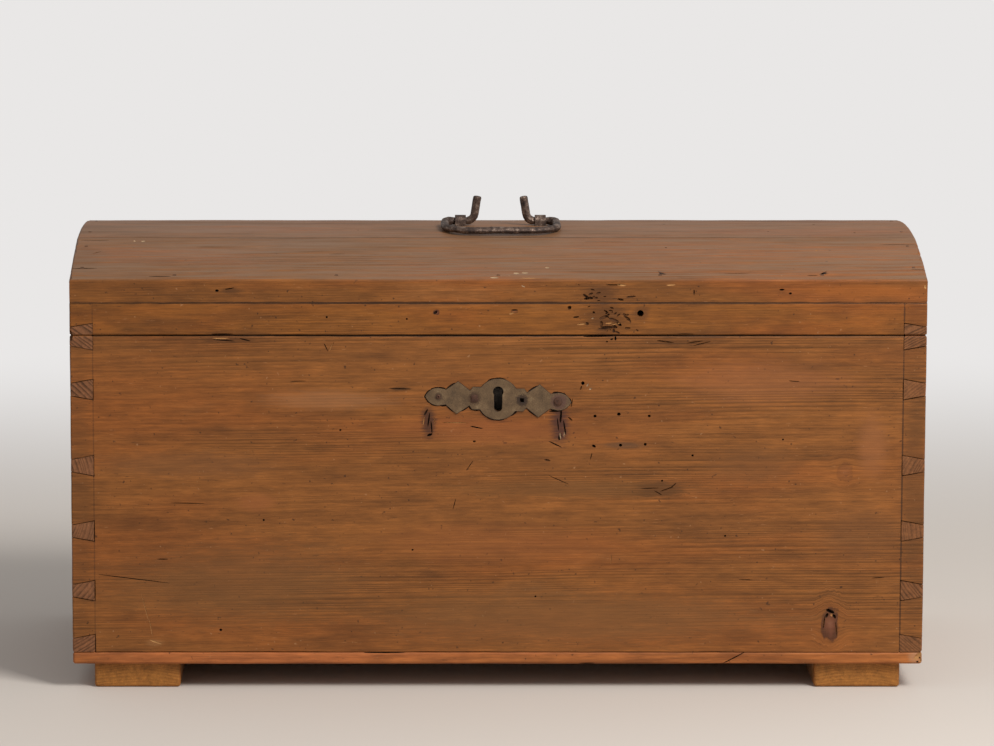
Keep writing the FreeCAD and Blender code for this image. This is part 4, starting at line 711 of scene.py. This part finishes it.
# front board: worm holes, the pits beside the plate, two scars under it, cracks and nicks
frontMarks = [
    (25, 310, 2.6, 2.6, 5, 45), (102, 293, 1.7, 1.5, 7, 0), (127, 295, 2, 1.7, 7, 0),
    (159, 293, 1.6, 1.5, 7, 0), (101, 261, 2.3, 1.4, 7, -30), (129, 262, 1.8, 1.5, 7, 0),
    (155, 263, 1.6, 1.5, 7, 0), (205, 251, 1.3, 1.2, 5, 0), (173, 224, 1.2, 1.1, 5, 0),
    (178, 215, 8, 0.8, 1.6, 20, jointDark), (169, 211, 5, 0.7, 1.2, -30, jointDark),
    (185, 219, 4, 0.7, 1.2, 40, jointDark), (160, 216, 10, 0.5, 1.0, 2, jointDark),
    (89, 328, 1.9, 1.9, 6, 0), (94, 326, 2.2, 0.9, 0.7, 60, flakePale),
    (97, 322, 1.6, 1, 0.7, 30, flakePale), (87, 323, 2.5, 1, 1.2, 70, jointDark),
    (-293, 64, 1.5, 1.4, 5, 0), (-354, 140, 6, 0.6, 2, 0, jointDark), (-247, 182, 1.2, 1.1, 4, 0),
    (-166, 278, 1.2, 1.1, 4, 0), (-385, 119, 40, 0.5, 5, -7), (-327, 200, 19, 0.5, 3, -1, jointDark),
    (-23, 281, 7, 0.7, 2, -12), (-45, 286, 16, 0.6, 0.6, -1, splitPale), (-76, 297, 4, 1, 1.6, 60),
    (-73, 289, 8, 0.9, 2, 82), (-70, 281, 7, 0.8, 2, 95), (-78, 288, 5, 0.6, 0.7, 80, splitPale),
    (-72, 273, 3, 1.4, 3, 20), (-67, 288, 4, 0.5, 0.8, 100, splitPale), (60.6, 298.4, 7, 1.1, 1.8, 4),
    (66, 293, 8, 1.2, 2.4, 85), (63, 284, 7, 0.7, 2, 96), (70, 281, 8, 0.9, 2, 100),
    (65, 271, 4, 1.6, 3, 75), (70, 275, 5, 0.6, 0.9, 80, flakePale),
    (65.6, 272, 4, 0.7, 0.8, 96, flakePale), (60, 263, 8, 0.7, 1.6, -26), (76, 290, 3, 0.8, 1.4, 140),
    (52, 246, 3.5, 1.2, 1.2, -10, jointDark), (-25, 266, 1.6, 1.1, 2, 0, jointDark),
    (98, 250, 4, 0.6, 1.2, 75, jointDark), (-288, 373.4, 12, 0.6, 2, -4),
    (-291, 375.6, 10, 0.8, 0.6, 0, splitPale), (-266, 374, 6, 0.8, 1.6, -14), (105, 377.6, 17, 0.8, 4, 1),
    (175, 372, 9, 0.9, 1.8, -8, jointDark), (206, 371.5, 9, 0.8, 1.4, 8, jointDark),
    (214, 370, 10, 0.6, 1.2, 14, jointDark), (-181, 366, 5, 0.6, 1.2, -65, jointDark),
    (-175, 367, 5, 0.6, 1.2, 62, splitPale), (-103, 322, 12, 0.6, 1.6, -2),
    (-373, 88, 14, 0.5, 0.8, 104, splitPale), (-367, 66, 10, 0.5, 0.8, 100, splitPale),
    (-362, 51, 7, 0.9, 0.6, -20, splitPale), (352, 84, 5, 2, 4, -25), (348.5, 79.5, 2.8, 1.6, 3, 60),
    (356.5, 78.5, 2.8, 1.5, 3, -60), (353.5, 80, 1.2, 1.5, 0.8, 0, splitPale),
    (345.5, 72, 7, 0.8, 1.5, 82, jointDark), (358.5, 65, 8, 0.7, 1.2, 96, jointDark),
    (77.5, 307, 5, 0.6, 1.0, 80, jointDark), (119, 374.5, 1.6, 1, 2, 20), (123, 375.5, 1.2, 2.4, 3, 0),
    (114, 372, 1.1, 1, 2, 0, jointDark), (-46, 199, 6, 0.5, 1.2, 75, jointDark),
    (120, 140, 5, 0.5, 0.9, 85, splitPale), (402, 120, 7, 0.5, 1.5, 3, jointDark),
    (311, 330, 6, 0.6, 1.4, -4, jointDark), (40, 100, 1.1, 1, 4, 0), (-90, 150, 1.1, 1, 4, 0),
    (-30, 240, 7, 0.5, 0.9, 55, jointDark), (64, 225, 12, 0.5, 0.9, -24, jointDark),
    (240, 165, 1.2, 1, 3, 0), (262, 118, 8, 0.5, 1.2, -3, jointDark),
    (-210, 330, 9, 0.5, 1.2, 2, jointDark), (300, 268, 1, 1, 3, 0),
]
# black grooves along stretches of the plate's rim, partly grime and partly painted shadow cast by the plate's
# edge: points on the plate, right and up from its middle
rim = {
    "tilt": 2.4, "wide": 1.5, "deep": 1.1, "overlap": 0.7,
    "strokes": [
        [(-76, -1.5), (-77, 0), (-71.5, 6.9), (-63, 9.5), (-56, 8.2)], [(-55, 8), (-46, 15.2)],
        [(-76, -1.5), (-71.5, -6.9), (-64, -9.3)], [(-60, -9.2), (-54, -8.4), (-46, -15.2)],
        [(-38, -14), (-30.5, -8.4), (-27, -12), (-18.4, -12), (-11, -19.1), (-2, -21.9), (7, -20.9)],
        [(14, -17), (20, -12.2)], [(-12, 18.4), (-4, 21.6), (6, 21.2)], [(31, 8.7), (40, 15.3)],
        [(31, -8.7), (41, -16)], [(57, 8.6), (63, 9.5), (70.5, 7.4)], [(74, 4.2), (76.8, -1)],
        [(56, -8.3), (62, -9.4)],
    ],
}
keyDisc = Vector((0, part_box("escutcheon_nails")[0].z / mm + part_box("escutcheon_nails")[1].z / mm)) / 2
rimShadowAndGrimeMarks = []
for stroke in rim["strokes"]:
    for first, last in zip(stroke, stroke[1:]):
        way = Vector(last) - Vector(first)
        middle = keyDisc + Matrix.Rotation(math.radians(-rim["tilt"]), 2) @ (Vector(first) + way / 2)
        slant = math.degrees(math.atan2(way.y, way.x)) - rim["tilt"]
        size = (way.length / 2 + rim["overlap"], rim["wide"], rim["deep"])
        rimShadowAndGrimeMarks.append(mark((middle.x, frontY, middle.y), "front", size, slant))
wearBoard("front_board", "frontBoard", "front", rimShadowAndGrimeMarks + frontRows(frontY, frontMarks))

# the other boards of the case, with the front left corner broken off under the lid
wearBoard("back_board", "backBoard", "back", scatter=("back", 21, 18, 7))
brokenCorner = [mark((-450, -210, 378), "left", (4.5, 6, 3.6), 0, jointDark)]
wearBoard("left_end_board", "leftEndBoard", "leftEnd", brokenCorner, ("left", 22, 14, 4))
wearBoard("right_end_board", "rightEndBoard", "rightEnd", scatter=("right", 23, 14, 4))

# base: one plank edge shows in front, with an old diagonal split, above two runners
baseMarks = [
    (250, 33.5, 15, 0.6, 14, 28), (446, 36, 6, 2.5, 2.5, 40, splitPale),
    (449, 31, 3, 2, 2.5, 70, splitPale), (445, 29.5, 1.3, 1, 2, 0), (447.5, 34, 1, 1.2, 2, 0, jointDark),
    (-120, 39.5, 24, 0.8, 3, 0), (95, 28, 9, 0.7, 3, 0),
]
wearBoard("bottom_plank_front", "frontPlank", "base", frontRows(stripY, baseMarks))
wearBoard("bottom_plank_middle", "middlePlank", "base", joint=0)
wearBoard("bottom_plank_back", "backPlank", "base", scatter=("back", 24, 6, 3))
wearBoard("left_runner", "leftRunner", "leftRunner", pitch=9)
wearBoard("right_runner", "rightRunner", "rightRunner", pitch=9)

# lid frame: the worm-eaten patch runs down from the front stave across the rail
wormPatch = {
    "seed": 31, "count": 34, "top": (92, 427), "run": (46, -43), "spread": (7, 6), "size": (0.6, 2.0),
    "stretch": (1, 2.2), "breadth": 0.7, "depth": (0.7, 1.8), "turn": (-40, 40), "railTop": 411,
    "edgeFoot": 415,
}
dice = random.Random(wormPatch["seed"])
wormRows = []
for _ in range(wormPatch["count"]):
    share = dice.random()
    size = dice.uniform(*wormPatch["size"])
    x, z = [top + run * share + dice.gauss(0, spread)
            for top, run, spread in zip(wormPatch["top"], wormPatch["run"], wormPatch["spread"])]
    wormRows.append((
        x, z, size * dice.uniform(*wormPatch["stretch"]), size * wormPatch["breadth"],
        dice.uniform(*wormPatch["depth"]), dice.uniform(*wormPatch["turn"]),
        dice.choice((wormBrown, jointDark)),
    ))
wormRows += [
    (94, 418, 4.5, 1.4, 3, 12), (128, 416.6, 3.6, 1.2, 3, -10, jointDark),
    (139, 419.5, 5.2, 1.2, 1.4, 6, wormBrown), (110, 397.6, 5, 1.9, 1.2, 22, wormBrown),
    (121, 395, 6, 1.7, 1.1, -18, wormBrown), (127, 390.5, 2.6, 1.6, 3, -40),
    (108, 391, 1.8, 3.4, 1.3, 0, jointDark), (116, 387.2, 9, 1.4, 1.2, -3, wormBrown),
    (116, 391.6, 4, 1, 0.8, 4, splitPale), (121, 383.5, 1.4, 2.4, 1.4, 0, wormBrown),
    (125, 381.8, 3, 1.1, 1.2, -20, wormBrown), (74.5, 408, 2.2, 2, 3, 30, jointDark),
    (81.5, 398, 3.4, 1, 2, 5, jointDark), (93, 391, 2, 1.8, 1.5, 0, wormBrown),
    (87, 390.6, 5, 1, 0.8, 6, splitPale), (99, 396.8, 1.6, 0.7, 0.7, 30, flakePale),
    (100, 403, 1.4, 1.2, 3, 0, jointDark), (113, 404, 2.6, 0.8, 2, -30, jointDark),
]
railMarks = [row for row in wormRows if row[1] < wormPatch["railTop"]] + [
    (-66, 403, 2.6, 1.4, 2.0, 35), (17, 405.5, 3.5, 0.8, 1.6, 0), (14, 402, 3, 1, 0.9, 20, splitPale),
    (-290, 380, 12, 0.8, 3, 0), (112, 386, 8, 1.5, 1.2, 5, wormBrown),
    (196, 380.2, 9, 0.5, 1.2, 0, jointDark), (124, 391, 6, 0.8, 1.0, 12, splitPale),
    (-180, 398, 1.2, 1.1, 4, 0), (-96, 396, 1.1, 1, 4, 0),
]
wearBoard("lid_front_rail", "lidFrontRail", "rail", frontRows(frontY, railMarks), pitch=9)
wearBoard("lid_back_rail", "lidBackRail", "rail", scatter=("back", 32, 6, 3))
wearBoard("lid_left_end", "lidLeftEnd", "leftEnd", brokenCorner, ("left", 33, 5, 2))
wearBoard("lid_right_end", "lidRightEnd", "rightEnd", scatter=("right", 34, 5, 2))

# staves: a mark lies where a plumb line meets the dome, and the thin edge on the rail stays sharp
dome = {"above": 1000, "footOut": 205, "footTop": 415}


def onDome(x, y):
    _, spot, normal, _ = nodes["front_stave"].ray_cast(Vector((x, y, dome["above"])) * mm, (0, 0, -1))
    return spot / mm, normal


def staveFoot(spot):
    return abs(spot.y) > dome["footOut"] and spot.z < dome["footTop"]


slopeMarks = [
    (-436, -181, 14, 0.8, 5, 0), (-355, -202, 12, 0.8, 5, 1), (-430, -95, 16, 0.6, 5, 0),
    (-378, -98, 2.5, 3, 0.8, 0, flakePale), (-387, -97, 1.8, 2.2, 0.8, 0, flakePale),
    (19, -194, 3, 2, 0.7, 0, flakePale), (28, -192.5, 3.4, 2.2, 0.7, 2, flakePale),
    (-4, -205, 4.5, 1.8, 0.7, 0, flakePale), (34, -206, 13, 0.7, 0.7, 0, splitPale),
    (52, -179, 2.2, 2.2, 0.7, 0, flakePale), (428, -110, 20, 0.6, 5, -1), (443, -185, 9, 0.5, 4, 0),
    (250, -195, 14, 0.5, 1.6, 1, jointDark), (-170, -140, 9, 0.5, 1.2, 3, jointDark),
    (180, -120, 1.1, 1, 4, 0), (330, -199, 6, 0.9, 1.4, 0, jointDark),
    (340, -130, 1.5, 1.1, 0.8, 0, splitPale), (-300, -118, 22, 0.5, 1.4, 1, jointDark),
    (-425, -135, 6, 0.6, 1.2, 40, jointDark), (120, -100, 26, 0.5, 1.4, -1, jointDark),
]
edgeMarks = [row for row in wormRows if row[1] > wormPatch["edgeFoot"]] + [
    (-295, 426, 2, 1.4, 4, 0), (-282, 428, 5, 0.8, 1.6, 10, jointDark), (297, 427, 2.8, 1, 4, 0),
    (306, 423, 1.6, 1.1, 4, 0), (205, 424, 1, 3, 1.4, 0, jointDark), (120, 432, 8, 0.8, 1.6, 0, jointDark),
    (26, 430.5, 2.2, 0.7, 0.6, -25, flakePale), (447.5, 430, 1.3, 2.2, 0.9, 0, splitPale),
    (129, 432, 5, 1.2, 0.8, -6, splitPale), (181, 432, 5, 1, 0.8, 4, splitPale),
]
staveMarks = [mark(*onDome(x, y), (along, across, deep), turn, *finish)
              for x, y, along, across, deep, turn, *finish in slopeMarks]
staveMarks += frontRows(frontY, edgeMarks)
wearBoard("front_stave", "frontStave", "frontStave", staveMarks, spared=staveFoot)
wearBoard("top_stave", "topStave", "topStave", scatter=("top", 35, 10, 5))
wearBoard("back_stave", "backStave", "backStave", scatter=("top", 36, 10, 4), spared=staveFoot)
print("boards worn")


# a disc to draw a rod or a nail head out of, left in edit mode with all of it selected
def startDisc(sides, radius, place, turn):
    bpy.ops.object.select_all(action="DESELECT")
    bpy.ops.mesh.primitive_circle_add(
        vertices=sides, radius=radius * mm, fill_type="NGON", location=place, rotation=turn)
    disc = bpy.context.object
    bpy.ops.object.transform_apply(location=True, rotation=True, scale=True)
    setMode("EDIT")
    bpy.ops.mesh.select_all(action="SELECT")
    return disc


# resizes about a centre the points that fit
def squeeze(piece, fits, shares, centre=(0, 0, 0)):
    pickOnly(piece)
    setMode("EDIT")
    bpy.ops.mesh.select_mode(type="VERT")
    bpy.ops.mesh.select_all(action="DESELECT")
    setMode("OBJECT")
    for point in piece.data.vertices:
        point.select = fits(point.co / mm)
    setMode("EDIT")
    bpy.ops.transform.resize(value=shares, center_override=centre)
    setMode("OBJECT")


def drawOut(way, steps):
    for _ in range(steps):
        bpy.ops.mesh.extrude_region_move(TRANSFORM_OT_translate={"value": [w * mm / steps for w in way]})


def bendRod(angle, centre, axis, steps):
    bpy.ops.mesh.spin(steps=steps, angle=-math.radians(angle), center=[c * mm for c in centre], axis=axis)


# bail: a rod drawn out to eight sides under the hammer, bent hot, its grip flattened and both ends turned up
rod = {
    "radius": 4.6, "tipShare": 0.84, "eyeShare": 0.86, "sides": 8, "tipRun": 1.6, "tipX": -25, "tipZ": 27,
    "lean": 9, "bend": 9, "eyeX": -50.5, "shoulder": 10, "corner": 30, "reach": 72, "tilt": 2,
    "gripFlat": (1, 1.1, 0.95), "armFlat": 0.87, "flatFrom": 14, "eyeDepth": 6, "eyeSlack": 1,
    "file": 0.7, "crease": 24, "hammer": 8, "dent": 1.0,
}
lean = math.radians(rod["lean"])
bendRoom = rod["bend"] * math.tan((math.pi / 2 - lean) / 2)
prongRun = rod["tipZ"] / math.cos(lean) - bendRoom
bendX = rod["tipX"] - rod["tipZ"] * math.tan(lean) - bendRoom
armX = rod["eyeX"] - rod["shoulder"]
gripY = -rod["reach"]
cornerY = gripY + rod["corner"]
prongWay = Vector((-math.sin(lean), 0, -math.cos(lean)))
tip = (rod["tipX"], 0, rod["tipZ"])
bail = startDisc(rod["sides"], rod["radius"] * rod["tipShare"], [t * mm for t in tip], (0, lean, 0))
bail.name = "bailHandle"
drawOut(prongWay * rod["tipRun"], 1)
ringCentre = Vector(tip) + prongWay * rod["tipRun"]
bpy.ops.transform.resize(value=[1 / rod["tipShare"]] * 3, center_override=ringCentre * mm)
drawOut(prongWay * (prongRun - rod["tipRun"]), 4)
bendRod(90 - rod["lean"], (bendX, 0, rod["bend"]), (0, 1, 0), 5)
drawOut((rod["eyeX"] - bendX, 0, 0), 2)
bendRod(90, (rod["eyeX"], -rod["shoulder"], 0), (0, 0, 1), 5)
drawOut((0, cornerY + rod["shoulder"], 0), 6)
bendRod(90, (armX + rod["corner"], cornerY, 0), (0, 0, 1), 9)
drawOut((-armX - rod["corner"], 0, 0), 6)
bpy.ops.mesh.delete(type="ONLY_FACE")
setMode("OBJECT")
applyModifier(bail, "MIRROR", merge_threshold=0.05 * mm)


# the stretch that turns in the staples is thinner and stays true
def inEye(spot):
    slack = rod["eyeSlack"]
    return spot.y > -rod["eyeDepth"] and -bendX - slack < abs(spot.x) < slack - rod["eyeX"]


squeeze(bail, lambda spot: spot.y < -rod["flatFrom"], (1, 1, rod["armFlat"]))
squeeze(bail, lambda spot: spot.y < gripY + rod["flatFrom"], rod["gripFlat"], (0, gripY * mm, 0))
squeeze(bail, inEye, (1, rod["eyeShare"], rod["eyeShare"]))
setMode("EDIT")
bpy.ops.mesh.select_all(action="SELECT")
bpy.ops.mesh.remove_doubles(threshold=weld)
bpy.ops.mesh.normals_make_consistent(inside=False)
setMode("OBJECT")
groupPoints(bail, "beaten", lambda point: not inEye(point.co / mm))
waver(bail, rod["hammer"], rod["dent"], group="beaten")
fileEdges(bail, rod["file"], rod["crease"])
bail.location = joints["bail_swing"]["pos_m"]
bail.rotation_euler = (math.radians(rod["tilt"]), 0, 0)
pickOnly(bail)
bpy.ops.object.transform_apply(location=True, rotation=True, scale=True)
bail.data.materials.append(metals["forged_iron"])
settle(bail, "bail_handle", rod["crease"])
print("bail forged:", len(bail.data.polygons), "faces")

# other metal keeps its place and outline and gets filed arrises and a beaten face
ironWork = {"file": 0.45, "sharp": 40, "pitch": 3.0, "hammer": 7, "dent": 0.5, "knuckle": 8}
hingeAxis = Vector(joints["lid_hinge"]["pos_m"]) / mm


def beatOut(nodeName, pieceName, finish, spared=lambda spot: False, edgeFinish=None, **changes):
    work = ironWork | changes
    piece = copyNode(nodeName, pieceName)
    piece.data.materials.append(finish)
    if edgeFinish:
        piece.data.materials.append(edgeFinish)
    fileEdges(piece, work["file"], work["sharp"], material=1 if edgeFinish else -1)
    cutGrid(piece, work["pitch"])
    groupPoints(piece, "beaten", lambda point: not spared(point.co / mm))
    waver(piece, work["hammer"], work["dent"], group="beaten")
    settle(piece, nodeName)
    print("beaten out:", pieceName, len(piece.data.polygons), "faces")


def byKnuckle(spot):
    return math.hypot(spot.y - hingeAxis.y, spot.z - hingeAxis.z) < ironWork["knuckle"]


for side in ("left", "right"):
    beatOut(side + "_handle_staple", side + "HandleStaple", metals["forged_iron"], pitch=2.0, dent=0.35)
    beatOut(side + "_hinge_case_leaf", side + "CaseLeaf", metals["forged_iron"], byKnuckle)
    beatOut(side + "_hinge_lid_leaf", side + "LidLeaf", metals["forged_iron"], byKnuckle)

# escutcheon: thin sheet cut by hand, no longer flat
beatOut("escutcheon", "escutcheonPlate", metals["escutcheon_brass"], edgeFinish=grimeAndShadeBrass,
        file=0.6, pitch=2.6, hammer=19, dent=1.1)

# its three nails were replaced one by one, a small one, a square one and a big round one:
# x, z, sides, radius, rise, turn
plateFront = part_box("escutcheon")[0].y
plateNails = {
    "left": (-63, 313.6, 9, 2.4, 1.0, 0), "inner": (-25, 312.0, 4, 5.2, 1.5, 40),
    "right": (63, 308.4, 11, 4.6, 1.9, 0),
}
nailForm = {"rise": (0.55, 0.45), "crown": 0.6, "neck": 0.7, "shank": 1.0, "length": 6, "file": 0.4,
            "crease": 30, "smooth": 40, "hammer": 2.4, "dent": 0.7}
nailPieces = []
for x, z, sides, radius, rise, turn in plateNails.values():
    foot = (x * mm, plateFront, z * mm)
    nail = startDisc(sides, radius, foot, (math.radians(90), math.radians(turn), 0))
    for share in nailForm["rise"]:
        drawOut((0, -rise * share, 0), 1)
    bpy.ops.transform.resize(value=(nailForm["crown"], 1, nailForm["crown"]), center_override=foot)
    setMode("OBJECT")
    for face in nail.data.polygons:
        face.select = abs(face.center.y - plateFront) < weld and abs(face.normal.y) > 0.9
    setMode("EDIT")
    bpy.ops.mesh.select_mode(type="FACE")
    bpy.ops.mesh.inset(thickness=(radius * nailForm["neck"] - nailForm["shank"]) * mm)
    drawOut((0, nailForm["length"], 0), 1)
    bpy.ops.mesh.select_all(action="SELECT")
    bpy.ops.mesh.normals_make_consistent(inside=False)
    setMode("OBJECT")
    nailPieces.append(nail)
plateNail = joinPieces(nailPieces)
plateNail.name = "escutcheonNails"
fileEdges(plateNail, nailForm["file"], nailForm["crease"])
applyModifier(plateNail, "SUBSURF", levels=2, render_levels=2, subdivision_type="SIMPLE")
waver(plateNail, nailForm["hammer"], nailForm["dent"])
plateNail.data.materials.append(rustIron)
settle(plateNail, "escutcheon_nails", nailForm["smooth"])
print("escutcheon and nails made")
